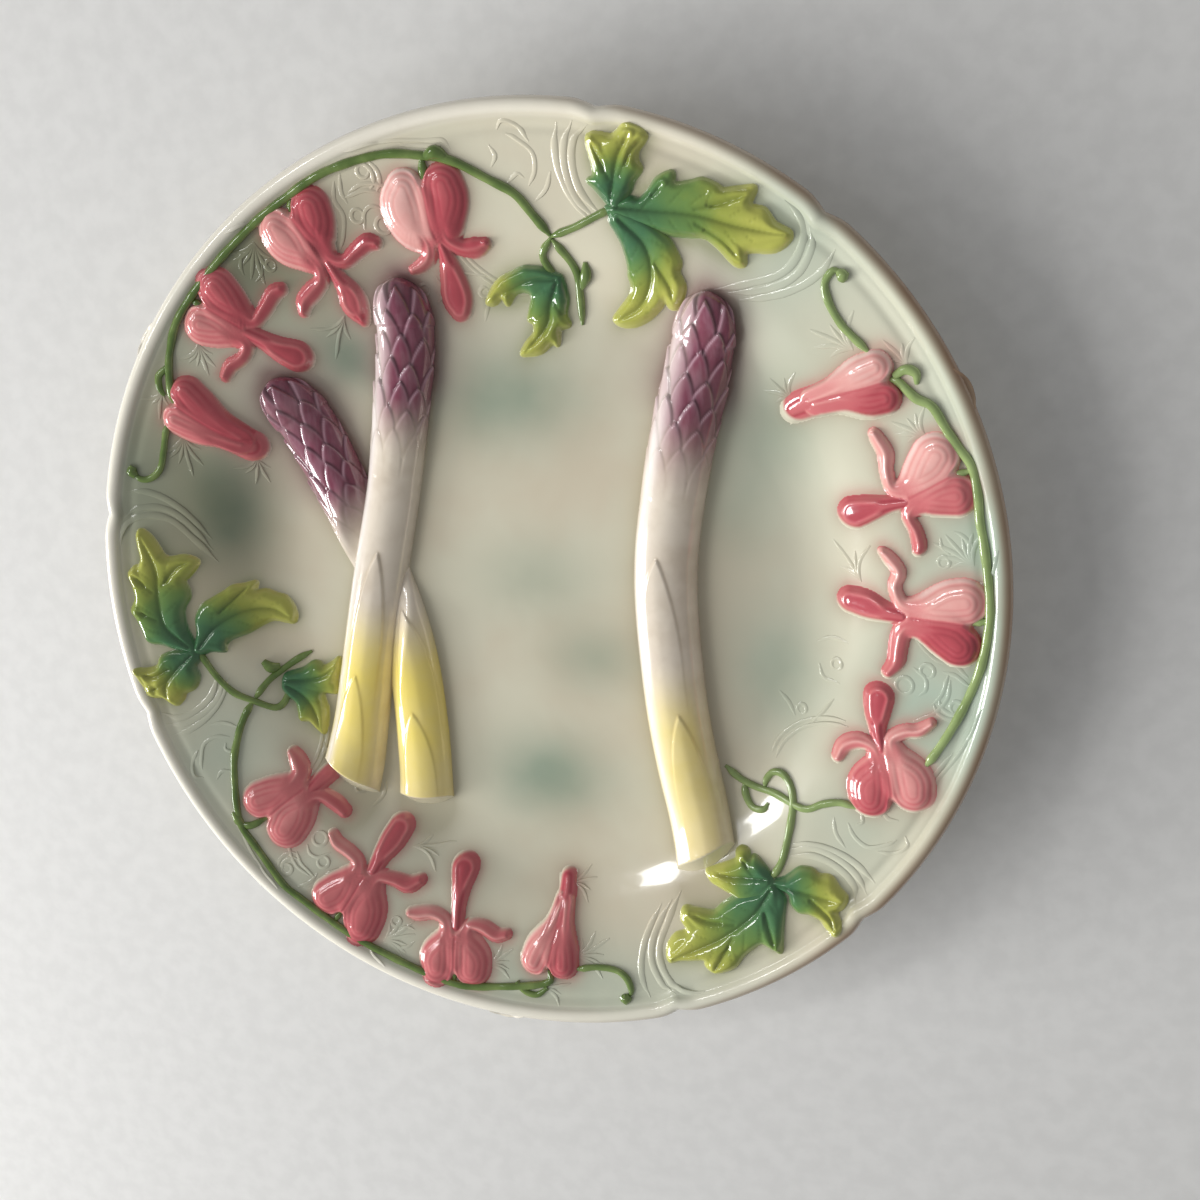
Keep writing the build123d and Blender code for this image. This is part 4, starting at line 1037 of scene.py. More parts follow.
@dataclass(frozen=True)
class PinkGlaze:
    """Rose glaze of the flowers: pale with painted highlight where it thins over an edge, deep with painted
    shade where it pools in a groove.
    """

    stops: tuple[tuple[float, Colour], ...] = (
        (0.0, srgb(240, 210, 201)), (0.25, srgb(229, 168, 160)), (0.5, srgb(206, 116, 117)),
        (0.75, srgb(184, 78, 87)), (1.0, srgb(142, 46, 57)))
    bare: Colour = CREAM
    speck: Colour = srgb(60, 20, 24)

    def make(self) -> bpy.types.Material:
        """Write the material.

        Returns:
            The material.
        """
        book = ShaderBook("pink_glaze")
        streaks = book.noise(3.2, 3.0)
        # Deeper in grooves and seams as pooled glaze and painted shade; paler on edges and ridges as thin
        # glaze and painted highlight
        depth = book.mark("tone") + 0.26 * book.mark("pool_and_shade") - 0.22 * book.mark("thin_and_highlight")
        colour = book.ramp(depth + 0.10 * (streaks - 0.5), self.stops)
        colour = book.blend(book.mark("cover"), self.bare, colour)
        colour = book.blend(book.specks(13.0, 0.3, 0.12), colour, self.speck)
        waves = book.noise(3.5, 2.0)
        return book.glaze(colour, waves, 0.06, 0.12 + 0.08 * streaks, 0.8)


@dataclass(frozen=True)
class LeafGlaze:
    """Green glaze of the leaves, teal at the stalk and yellow-green at the tips."""

    stops: tuple[tuple[float, Colour], ...] = (
        (0.0, srgb(180, 182, 86)), (0.3, srgb(150, 160, 70)), (0.55, srgb(110, 140, 70)),
        (0.8, srgb(84, 126, 76)), (1.0, srgb(68, 113, 76)))
    pooled_and_shaded: Colour = srgb(134, 148, 98)
    bare: Colour = srgb(212, 206, 150)

    def make(self) -> bpy.types.Material:
        """Write the material.

        Returns:
            The material.
        """
        book = ShaderBook("leaf_glaze")
        cloud = book.noise(6.0, 3.0)
        colour = book.ramp(book.mark("tone") + 0.30 * (cloud - 0.5), self.stops)
        # Darker in the vein grooves, as pooled glaze and painted shade
        colour = book.blend(book.mark("pool_and_shade") * 0.5, colour, self.pooled_and_shaded, "MULTIPLY")
        # Paler at the edges: bare relief and painted highlight
        colour = book.blend(book.mark("thin_and_highlight") * 0.24, colour, self.bare)
        colour = book.blend(book.mark("cover"), CREAM, colour)
        return book.glaze(colour, book.noise(4.0, 2.0), 0.06, 0.10 + 0.08 * cloud, 0.85)


@dataclass(frozen=True)
class StemGlaze:
    """Olive glaze of the vines, stalks and tendrils, with painted light that makes them paler on the right of
    the plate.
    """

    dark: Colour = srgb(88, 112, 52)
    light: Colour = srgb(122, 142, 78)
    painted_light_colour: Colour = srgb(160, 180, 118)

    def make(self) -> bpy.types.Material:
        """Write the material.

        Returns:
            The material.
        """
        book = ShaderBook("stem_glaze")
        cloud = book.noise(7.0, 3.0)
        colour = book.blend(cloud.step(0.35, 0.7), self.dark, self.light)
        # Painted light: paler towards the right of the plate
        colour = book.blend(book.mark("right") * (0.35 + 0.7 * cloud), colour, self.painted_light_colour)
        return book.glaze(colour, book.noise(2.5, 2.0), 0.08, 0.12 + 0.08 * cloud, 0.85)


@dataclass(frozen=True)
class SpearGlaze:
    """Glaze of the spears: purple heads, ivory shafts, yellow ends, a painted highlight and painted shadows.
    """

    ivory: Colour = srgb(232, 220, 202)
    shade: Colour = srgb(206, 190, 168)
    purple: Colour = srgb(128, 63, 82)
    plum: Colour = srgb(67, 22, 37)
    lilac: Colour = srgb(206, 172, 184)
    yellow: Colour = srgb(251, 229, 122)
    painted_highlight: Colour = srgb(252, 246, 240)
    cut: Colour = srgb(234, 226, 190)
    shaded_seam: Colour = srgb(190, 172, 130)

    def make(self) -> bpy.types.Material:
        """Write the material.

        Returns:
            The material.
        """
        book = ShaderBook("spear_glaze")
        cloud = book.noise(9.0, 3.0)
        streak = book.noise(2.4, 3.0, (1.0, 0.25, 1.0))
        head = book.mark("head") + 0.25 * (cloud - 0.5) * book.mark("head")
        colour = book.blend(cloud.step(0.35, 0.75) * 0.6, self.ivory, self.shade)
        colour = book.blend(book.mark("yellow") * (0.75 + 0.4 * cloud), colour, self.yellow)
        violet = book.blend(streak.step(0.4, 0.75) * 0.2, self.purple, self.lilac)
        # Lit left flank of the head paler: thinner purple with a painted reflection
        violet = book.blend(book.mark("pale"), violet, self.lilac)
        # Painted shadow of each scale on the one under it
        violet = book.blend(book.mark("under") * 0.85, violet, self.plum)
        # Pale scale edges: glaze breaking over them, with a painted highlight on the lit side
        violet = book.blend(book.mark("edge") * 0.75, violet, self.lilac)
        colour = book.blend(head, colour, violet)
        # Painted highlight: a white streak along the lit left flank
        colour = book.blend(book.mark("painted_highlight") * (0.5 + 0.8 * streak), colour, self.painted_highlight)
        colour = book.blend(book.mark("cut") * 0.8, colour, self.cut)
        # Painted shadow under the bracts on the shaft
        colour = book.blend(book.mark("shaded_seam"), colour, self.shaded_seam, "MULTIPLY")
        return book.glaze(colour, book.noise(6.0, 2.0), 0.08, 0.12 + 0.08 * streak, 0.8)


@dataclass
class Flower:
    """A heart flower or bud: two petals that end in curled wings, and a tail."""

    name: str
    strokes: Sequence[Sequence[Station]]
    tones: tuple[float, float, float]
    form: PlateForm
    blossom: Blossom = Blossom.OPEN
    rise: float = 2.6
    wing_rise: float = 1.5
    groove_pitch: float = 1.45
    groove_count: int = 3
    groove_depth: float = 0.11
    merge: float = 8.0
    web: float = 2.4
    paint_shift: Point = (-0.6, 0.4)
    # Painted light: each flower paler towards the upper left, where the light comes from, and deeper towards
    # the lower right
    painted_light_reach: float = 18.0
    painted_light_tone: float = 0.14
    margin: float = 2.4
    cell: float = 0.3

    def joined(self, x: np.ndarray, y: np.ndarray, left: StrokeReading, right: StrokeReading) -> np.ndarray:
        """Join the outlines of both petals, which run into each other behind their cleft.

        Args:
            x: Plan places to the right.
            y: Plan places upwards.
            left: The places measured against the first petal.
            right: The places measured against the second petal.

        Returns:
            The gap to the joined outline, negative inside it.
        """
        cleft, throat = (np.mean([stations[n][:2] for stations in self.strokes[:2]], axis=0) for n in (0, 2))
        axis = (throat - cleft) / np.hypot(*(throat - cleft))
        behind = ease(-2.0, 3.5, (x - cleft[0]) * axis[0] + (y - cleft[1]) * axis[1])
        broad = ease(2.0, 4.0, np.minimum(left.width, right.width))
        reach = self.merge * (0.3 + 0.7 * broad) * (0.2 + 0.8 * behind)
        near = np.clip(1.0 - np.abs(left.gap - right.gap) / reach, 0.0, 1.0)
        return np.minimum(left.gap, right.gap) - reach / 4 * near ** 2

    def heart(self, left: StrokeReading, right: StrokeReading, inside: np.ndarray) -> tuple[np.ndarray, ...]:
        """Merge the two petals into one heart.

        Args:
            left: The grid measured against the first petal.
            right: The grid measured against the second petal.
            inside: Depth inside their joined outline.

        Returns:
            Height over the plate, pooled glaze with painted shade, thin glaze with painted highlight, and the
            share of the first petal.
        """
        apart = left.gap - right.gap
        share = ease(0.5, -0.5, apart)
        width = share * left.width + (1.0 - share) * right.width
        along = share * left.along + (1.0 - share) * right.along
        side = share * left.side - (1.0 - share) * right.side
        deep = np.minimum(inside + 0.2 + self.web * bell(apart, 3.2), 2.6 * (inside + 0.2))
        fill = np.clip(deep / (width + 0.2), 0.0, 1.0)
        lobe = ease(1.6, 4.4, width)
        height = (self.wing_rise + (self.rise - self.wing_rise) * lobe) * (1.0 - (1.0 - fill) ** 2) ** 0.85
        own = -np.minimum(left.gap, right.gap)
        pool_and_shade = np.zeros_like(height)
        # Grooves in the lobes, darkened as pooled glaze and painted shade
        for number in range(self.groove_count):
            groove = bell(own - self.groove_pitch * (number + 0.8), 0.3) * ease(2.2, 4.0, width)
            pool_and_shade = np.maximum(pool_and_shade, groove * (1.0 - 0.2 * number))
        pool_and_shade *= ease(0.46, 0.14, along) * ease(0.3, 2.6, np.abs(apart))
        # Crease where one petal lies over the other, also darkened as painted shade
        shaded_seam = bell(apart, 0.6) * ease(0.4, 1.4, inside)
        ridge = bell(side - 0.15 * width, 0.5) * (1.0 - lobe) * ease(0.35, 0.6, along)
        height += 0.3 * ridge - self.groove_depth * pool_and_shade - 0.15 * shaded_seam
        # Paler along the edges and the wing ridge: thin glaze and painted highlight
        thin_and_highlight = np.maximum(bell(inside - 0.35, 0.5) * 0.6, 0.9 * ridge)
        return height, np.maximum(0.5 * pool_and_shade, 0.6 * shaded_seam), thin_and_highlight, share

    def tail(self, read: StrokeReading) -> tuple[np.ndarray, np.ndarray, np.ndarray]:
        """Work out the tail.

        Args:
            read: The grid measured against its stroke.

        Returns:
            Height over the plate, pooled glaze with painted shade, and thin glaze with painted highlight.
        """
        inside = -read.gap
        fill = np.clip((inside + 0.2) / (read.width + 0.2), 0.0, 1.0)
        height = (self.wing_rise + 0.3 + 0.2 * ease(1.6, 4.0, read.width)) * (1.0 - (1.0 - fill) ** 2) ** 0.8
        bulb = ease(2.2, 3.0, read.width) if self.blossom is Blossom.OPEN else np.zeros_like(height)
        ring = bell(inside - 1.35, 0.45) * bulb
        dip = ease(1.6, 2.4, inside) * bulb
        neck = bell(read.reach - 0.5 * read.width, 0.4) * (1.0 - bulb) * ease(0.0, 0.3, inside)
        height += 0.25 * ring - 0.12 * dip - 0.2 * neck
        # Paler at the edge and on the raised ring: thin glaze and painted highlight
        return height, 0.3 * dip + 0.7 * neck, np.maximum(0.4 * bell(inside - 0.35, 0.5), 0.8 * ring)

    def build(self) -> bpy.types.Mesh:
        """Raise the flower from its strokes.

        Returns:
            Its closed mesh.
        """
        strokes = [Stroke(stations) for stations in self.moulded()]
        grid = ReliefGrid.around(strokes, self.margin, self.cell)
        left, right, tail = [stroke.read(grid.x, grid.y) for stroke in strokes]
        heart_gap = self.joined(grid.x, grid.y, left, right)
        heart_height, heart_pool_and_shade, heart_thin_and_highlight, share = self.heart(left, right, -heart_gap)
        tail_height, tail_pool_and_shade, tail_thin_and_highlight = self.tail(tail)
        over = ease(-0.2, 0.2, tail_height - heart_height)
        middle = np.mean([stations[0] for stations in self.strokes[:2]], axis=0)
        # Painted light: tone deeper away from the light, towards the lower right
        light_slant = np.clip((grid.x - middle[0] - grid.y + middle[1]) / self.painted_light_reach, -1.0, 1.0)
        soft = 0.4 * share + 0.6 * ease(3.6, -3.6, left.gap - right.gap)
        petals = soft * self.tone(0, left) + (1.0 - soft) * self.tone(1, right) + self.painted_light_tone * light_slant
        height = np.maximum(heart_height, tail_height)
        gap = np.minimum(heart_gap, tail.gap)
        height = height - 0.6 * ease(0.3, 1.6, gap) - 0.35 * ease(1.0, 2.2, gap)
        marks = {"tone": petals + (self.tone(2, tail) - petals) * over,
                 "pool_and_shade": heart_pool_and_shade + (tail_pool_and_shade - heart_pool_and_shade) * over,
                 "thin_and_highlight": heart_thin_and_highlight + (tail_thin_and_highlight - heart_thin_and_highlight) * over,
                 "cover": ease(1.3, 0.2, self.painted_gap(grid.x, grid.y))}
        return grid.mesh(self.name, self.form, height, marks)

    def moulded(self) -> list[list[Station]]:
        """Fill out the petals in front of the wings.

        Returns:
            Stations of the three strokes.
        """
        if self.blossom is Blossom.BUD:
            return [list(stations) for stations in self.strokes]
        petals = [[(x, y, 1.04 * width + 0.25 if number < 3 else 0.95 * width + 0.15)
                   for number, (x, y, width) in enumerate(stations)] for stations in self.strokes[:2]]
        return [*petals, list(self.strokes[2])]

    def painted_strokes(self) -> list[Stroke]:
        """Strokes of the brushed colour, which lies a little beside the moulded form."""
        right, up = self.paint_shift
        return [Stroke([(x + right, y + up, width) for x, y, width in stations], 1.0)
                for stations in self.moulded()]

    def painted_gap(self, x: np.ndarray, y: np.ndarray) -> np.ndarray:
        """Distance of places in the plan from the brushed colour, negative inside it."""
        left, right, tail = [stroke.read(x, y) for stroke in self.painted_strokes()]
        return np.minimum(self.joined(x, y, left, right), tail.gap)

    def tone(self, number: int, read: StrokeReading) -> np.ndarray:
        """Depth of the rose colour on a petal, deeper in the throat than on the lobe."""
        throat = ease(4.4, 2.2, read.width)
        return self.tones[number] + (0.62 - self.tones[number]) * 0.7 * throat

    def dress(self, finish: bpy.types.Material) -> bpy.types.Object:
        """Build the flower and give it its glaze."""
        return settle(f"{self.name}_relief", self.build(), finish, Glaze.PINK, [self.name])


@dataclass
class Leaf:
    """A lobed leaflet with pillowed fields and a groove along each vein."""

    name: str
    strokes: Sequence[Sequence[Station]]
    outline: Outline
    form: PlateForm
    rise: float = 1.9
    pillow: float = 0.55
    vein_depth: float = 0.42
    vein_width: float = 0.6
    edge_width: float = 2.4
    spare: float = 0.3
    rib_pitch: float = 4.6
    rib_depth: float = 0.1
    margin: float = 1.6
    cell: float = 0.33

    def build(self) -> bpy.types.Mesh:
        """Raise the leaflet from its outline, with a groove along each stroke.

        Returns:
            Its closed mesh.
        """
        strokes = [Stroke(stations) for stations in self.strokes]
        edge = Stroke([(x, y, 0.0) for x, y in self.outline.corners])
        grid = ReliefGrid.around([edge], self.margin, self.cell)
        reads = [stroke.read(grid.x, grid.y) for stroke in strokes]
        nearest = np.argmin([read.gap for read in reads], axis=0)
        gap = self.outline.gap(grid.x, grid.y) - self.spare
        inside = -gap
        share = np.clip((inside + 0.2) / self.edge_width, 0.0, 1.0)
        height = self.rise * (1.0 - (1.0 - share) ** 2.2) ** 0.75
        vein, rib, pillow = (np.zeros_like(height) for _ in range(3))
        for number, read in enumerate(reads):
            within = ease(-0.3, -1.2, gap) * ease(1.0, 0.8, read.along)
            vein = np.maximum(vein, np.exp(-read.reach / self.vein_width) * within)
            across = np.clip(read.reach / read.width, 0.0, 1.0)
            own = nearest == number
            pillow = np.maximum(pillow, np.sin(math.pi * across) * own)
            phase = (read.run - 0.8 * read.reach) % self.rib_pitch - self.rib_pitch / 2
            fans = bell(phase, 0.4) * ease(0.12, 0.4, across) * ease(0.98, 0.7, across)
            rib = np.maximum(rib, fans * ease(2.4, 4.0, read.width) * own)
        height += self.pillow * pillow * ease(0.2, 1.8, inside) - self.rib_depth * rib
        height -= self.vein_depth * vein
        height -= 0.5 * ease(0.1, 0.9, gap)
        start = self.strokes[0][0]
        length = max(math.hypot(end[-1][0] - start[0], end[-1][1] - start[1]) for end in self.strokes)
        to_tip = np.minimum.reduce([np.hypot(grid.x - end[-1][0], grid.y - end[-1][1])
                                    for end in self.strokes])
        far = np.hypot(grid.x - start[0], grid.y - start[1])
        # Vein grooves darkened as pooled glaze and painted shade; edges paler as bare relief and painted
        # highlight
        marks = {"tone": np.clip(1.08 - 1.35 * far / length + 0.4 * to_tip / length, 0.0, 1.0),
                 "pool_and_shade": np.maximum(vein, 0.4 * rib), "cover": ease(0.6, 0.0, gap),
                 "thin_and_highlight": 0.7 * bell(inside - 0.3, 0.5) * ease(0.1, 0.3, far / length)}
        return grid.mesh(self.name, self.form, height, marks)

    def dress(self, finish: bpy.types.Material) -> bpy.types.Object:
        """Build the leaflet and give it its glaze."""
        return settle(f"{self.name}_relief", self.build(), finish, Glaze.LEAF, [self.name])


@dataclass(frozen=True)
class Bract:
    """A pointed scale on a spear: its tip, its place round the spear, and its size."""

    tip: float
    turn: float
    length: float
    half_turn: float
    lift: float
    round_end: float


@dataclass
class Spear:
    """An asparagus spear with overlapping bracts, from its pointed head to its slanted cut."""

    name: str
    stations: Sequence[Station]
    rise: float
    head_end: tuple[float, float]
    yellow_start: tuple[float, float]
    shaft_bracts: Sequence[Bract]
    form: PlateForm
    over: Sequence[Station] = ()
    cut_skew: float = 0.0
    nose_length: float = 12.0
    full_width_at: float = 18.0
    # Paler purple on the lit left flank (thinner glaze with a painted reflection), and the strength of the
    # painted highlight
    lit_flank_paling: float = 0.75
    yellow_strength: float = 1.0
    white_edge: float = 0.6
    first_row: float = 1.8
    row_pitch: float = 6.2
    row_count: int = 7
    bracts_round: float = 4.4
    bract_length: float = 13.0
    bract_lift: float = 0.85
    bract_round_end: float = 9.5
    row_step: float = 0.42
    columns: int = 84
    under_columns: int = 26
    root: float = 1.4
    cut_slope: float = 1.5
    cut_curve: float = 2.6

    def bracts(self) -> list[Bract]:
        """Set the scales of the head in staggered rows.

        Returns:
            All scales, upper rows first.
        """
        pitch = 180.0 / self.bracts_round
        scales = []
        for row in range(self.row_count):
            fade = 1.0 - 0.75 * max(0.0, (row - self.row_count + 3) / 3.0)
            for place in range(-1, int(self.bracts_round) + 2):
                turn = (place + 0.5 * (row % 2)) * pitch
                uneven = math.sin(12.9 * row + 7.7 * place)
                turn += 4.0 * math.cos(5.3 * row - 9.1 * place)
                tip = self.first_row + self.row_pitch * row + 0.9 * uneven
                half_turn = (0.58 + 0.05 * uneven) * pitch
                scales.append(Bract(tip, turn, self.bract_length, half_turn, self.bract_lift * fade,
                                    self.bract_round_end))
        return scales + list(self.shaft_bracts)

    def scale_field(self, run: np.ndarray, turn: np.ndarray, width: np.ndarray) -> tuple[np.ndarray, ...]:
        """Lay the scales over the spear, each over those nearer to the tip.

        Args:
            run: Distance from the tip, in millimetres.
            turn: Place round the spear, in degrees from its left edge.
            width: Half width of the spear.

        Returns:
            Lift over the shaft, nearness to the scale's own edge (a painted highlight on its lit side), and
            nearness to a scale that lies over it (its painted shadow).
        """
        lift, edge, under = np.zeros_like(run), np.zeros_like(run), np.zeros_like(run)
        for scale in self.bracts():
            down = run - scale.tip
            q = np.clip(down / scale.round_end, 0.0, 1.0)
            half = scale.half_turn * (1.0 - (1.0 - q) ** 2) ** 0.8
            arc = np.abs(turn - scale.turn) * np.radians(1.0) * width
            gap = np.where(down > 0.0, arc - half * math.radians(1.0) * width, np.hypot(down, arc))
            fade = np.clip(1.0 - down / scale.length, 0.0, 1.0) * (down > -2.0)
            inside = ease(0.15, -0.45, gap) * (fade > 0.0)
            strength = scale.lift / self.bract_lift
            raised = scale.lift * fade + 0.15 * scale.lift * bell(arc, 1.2)
            # A band outside the scale's outline, painted as the shadow the scale casts
            shade = bell(np.maximum(gap, 0.0), 0.6) * strength * fade
            # The edge is paler on the side towards the light: a painted highlight
            lit = 0.35 + 0.65 * ease(-6.0, 6.0, turn - scale.turn)
            lift = lift + (raised - lift) * inside
            edge = edge + (bell(gap + 0.35, 0.4) * lit * strength * fade - edge) * inside
            under = np.maximum(under, shade) * (1.0 - inside)
        return lift, edge, under

    def build(self) -> bpy.types.Mesh:
        """Sweep the spear along its middle line.

        Returns:
            Its closed mesh.
        """
        first, second = np.array(self.stations[0]), np.array(self.stations[1])
        nose = first + (first - second) / np.hypot(*(first - second)[:2]) * first[2] * 0.4
        nose[2] = 0.35
        path = smooth_path([tuple(nose), *self.stations], self.row_step)
        run = run_length(path)
        nose_share = np.clip(run / self.nose_length, 0.0, 1.0)
        blunt = np.sqrt(1.0 - (1.0 - nose_share) ** 2) * path[np.argmax(run > self.full_width_at), 2]
        path[:, 2] = np.maximum(np.where(nose_share < 1.0, np.maximum(path[:, 2], blunt), path[:, 2]), 0.3)
        way = np.gradient(path[:, :2], axis=0)
        way /= np.hypot(way[:, 0], way[:, 1])[:, None]
        left = np.column_stack([-way[:, 1], way[:, 0]])
        angles = np.concatenate([np.linspace(0.0, math.pi, self.columns),
                                 np.linspace(math.pi, 2 * math.pi, self.under_columns)[1:-1]])
        angle, length = np.meshgrid(angles, run)
        width = np.repeat(path[:, 2:3], len(angles), axis=1)
        above = np.sin(angle) >= -1e-9
        tall = self.rise * (width / path[:, 2].max()) ** 0.9
        lift, edge, under = self.scale_field(length, np.degrees(angle), width)
        lift = np.where(above, lift, 0.0) * ease(0.0, 0.25, np.sin(angle))
        side = np.cos(angle) * (width + lift)
        height = np.where(above, np.sin(angle) * (tall + lift), np.sin(angle) * self.root)
        skew = self.cut_skew * width * np.cos(angle) - abs(self.cut_skew) * width
        left_over = run[-1] - length - self.cut_curve * np.cos(angle) ** 2 + skew
        cut = left_over * self.cut_slope
        face = ease(-0.2, 0.5, height - cut) * above
        height = np.where(above, np.maximum(np.minimum(height, cut), -0.7 * self.root), height)
        x = path[:, 0:1] + left[:, 0:1] * side
        y = path[:, 1:2] + left[:, 1:2] * side
        if self.over:
            beside = Stroke(self.over).read(x, y).gap
            height = np.where(above, height * (1.0 - 0.6 * ease(5.0, -1.5, beside)), height)
        z = self.form.ground(x, y) + height
        # Left flank of the head paler: thinner purple glaze and a painted reflection on the lit side
        pale = self.lit_flank_paling * ease(88.0, 132.0, np.degrees(angle))
        head = ease(self.head_end[1], self.head_end[0], length) * (1.0 - 0.4 * pale)
        # Painted highlight: a white streak down the lit left flank, strongest along the shaft
        painted_highlight = 1.2 * self.lit_flank_paling * bell(np.degrees(angle) - 137.0, 15.0) * (1.0 - face)
        painted_highlight *= ease(2.0, 14.0, length) * (0.35 + 0.65 * ease(22.0, 44.0, length))
        marks = {"head": head, "pale": pale, "edge": edge, "under": under, "cut": face, "painted_highlight": painted_highlight,
                 "yellow": self.yellow(length, np.degrees(angle)) * (1.0 - face),
                 # Painted shadow under the bracts on the shaft
                 "shaded_seam": 0.5 * under * (1.0 - head)}
        rows = np.stack([x, y, z], axis=-1)
        points = np.vstack([rows.reshape(-1, 3), rows[0].mean(0), rows[-1].mean(0)])
        full = {mark: np.append(values.ravel(), [values[0].mean(), values[-1].mean()])
                for mark, values in marks.items()}
        quads, *fans = swept_faces(*x.shape)
        # The corner that a quad starts at sets which of its diagonals halves it
        return mesh_from_arrays(self.name, points, [np.roll(quads, -1, axis=1), *fans], full)

    def yellow(self, run: np.ndarray, turn: np.ndarray) -> np.ndarray:
        """Find where the shaft is yellow.

        Args:
            run: Distance from the tip, in millimetres.
            turn: Place round the spear, in degrees.

        Returns:
            Strength of the yellow.
        """
        low, high = self.yellow_start
        faded = 1.0 - 0.35 * ease(high + 14.0, high + 40.0, run)
        sides = (1.0 - self.white_edge * ease(62.0, 25.0, turn)) * (1.0 - 0.35 * ease(135.0, 165.0, turn))
        return self.yellow_strength * ease(low, high, run) * faded * sides

    def dress(self, finish: bpy.types.Material) -> bpy.types.Object:
        """Build the spear and give it its glaze."""
        return settle(f"{self.name}_relief", self.build(), finish, Glaze.SPEAR, [self.name])


@dataclass(frozen=True)
class Cloud:
    """A soft patch of colour on the dish: middle, half sizes and strength."""

    x: float
    y: float
    half_x: float
    half_y: float
    strength: float

    def cover(self, x: np.ndarray, y: np.ndarray) -> np.ndarray:
        """Strength of the patch at places in the plan."""
        return self.strength * np.exp(-((x - self.x) / self.half_x) ** 2 - ((y - self.y) / self.half_y) ** 2)


WASHES = (
    Cloud(-78, 84, 34, 22, 0.75), Cloud(-104, 32, 16, 26, 0.6), Cloud(72, 86, 26, 22, 0.7),
    Cloud(108, 18, 18, 52, 0.65), Cloud(98, -30, 18, 24, 0.7), Cloud(8, -108, 44, 14, 0.7),
    Cloud(-94, -46, 18, 22, 0.6), Cloud(-60, -88, 24, 20, 0.5), Cloud(62, 40, 16, 26, 0.45),
    Cloud(62, -20, 14, 26, 0.45), Cloud(80, -62, 14, 16, 0.5), Cloud(116, -8, 7, 40, 0.6))
# Sponged green patches; those on the left wall and on the upper-left and left rim also stand in for shade
# there
SPONGES_AND_SHADE = (
    Cloud(-3, 50, 20, 13, 0.75), Cloud(-1, -54, 18, 13, 0.75), Cloud(-85, 24, 10, 18, 0.85),
    Cloud(-46, 62, 8, 8, 0.8), Cloud(0, 2, 18, 11, 0.4), Cloud(15, -20, 15, 10, 0.45),
    Cloud(68, 42, 13, 14, 0.45), Cloud(64, -24, 11, 15, 0.4), Cloud(57, 18, 10, 11, 0.3),
    Cloud(-66, 92, 28, 14, 0.35), Cloud(-110, 40, 10, 26, 0.3))
# Painted shade on the left rim, the upper-left rim and the left wall, which face away from the light
SHADE_CLOUDS = (Cloud(-102, 30, 20, 56, 0.55), Cloud(-66, 90, 32, 20, 0.85), Cloud(-85, 24, 13, 20, 0.4))


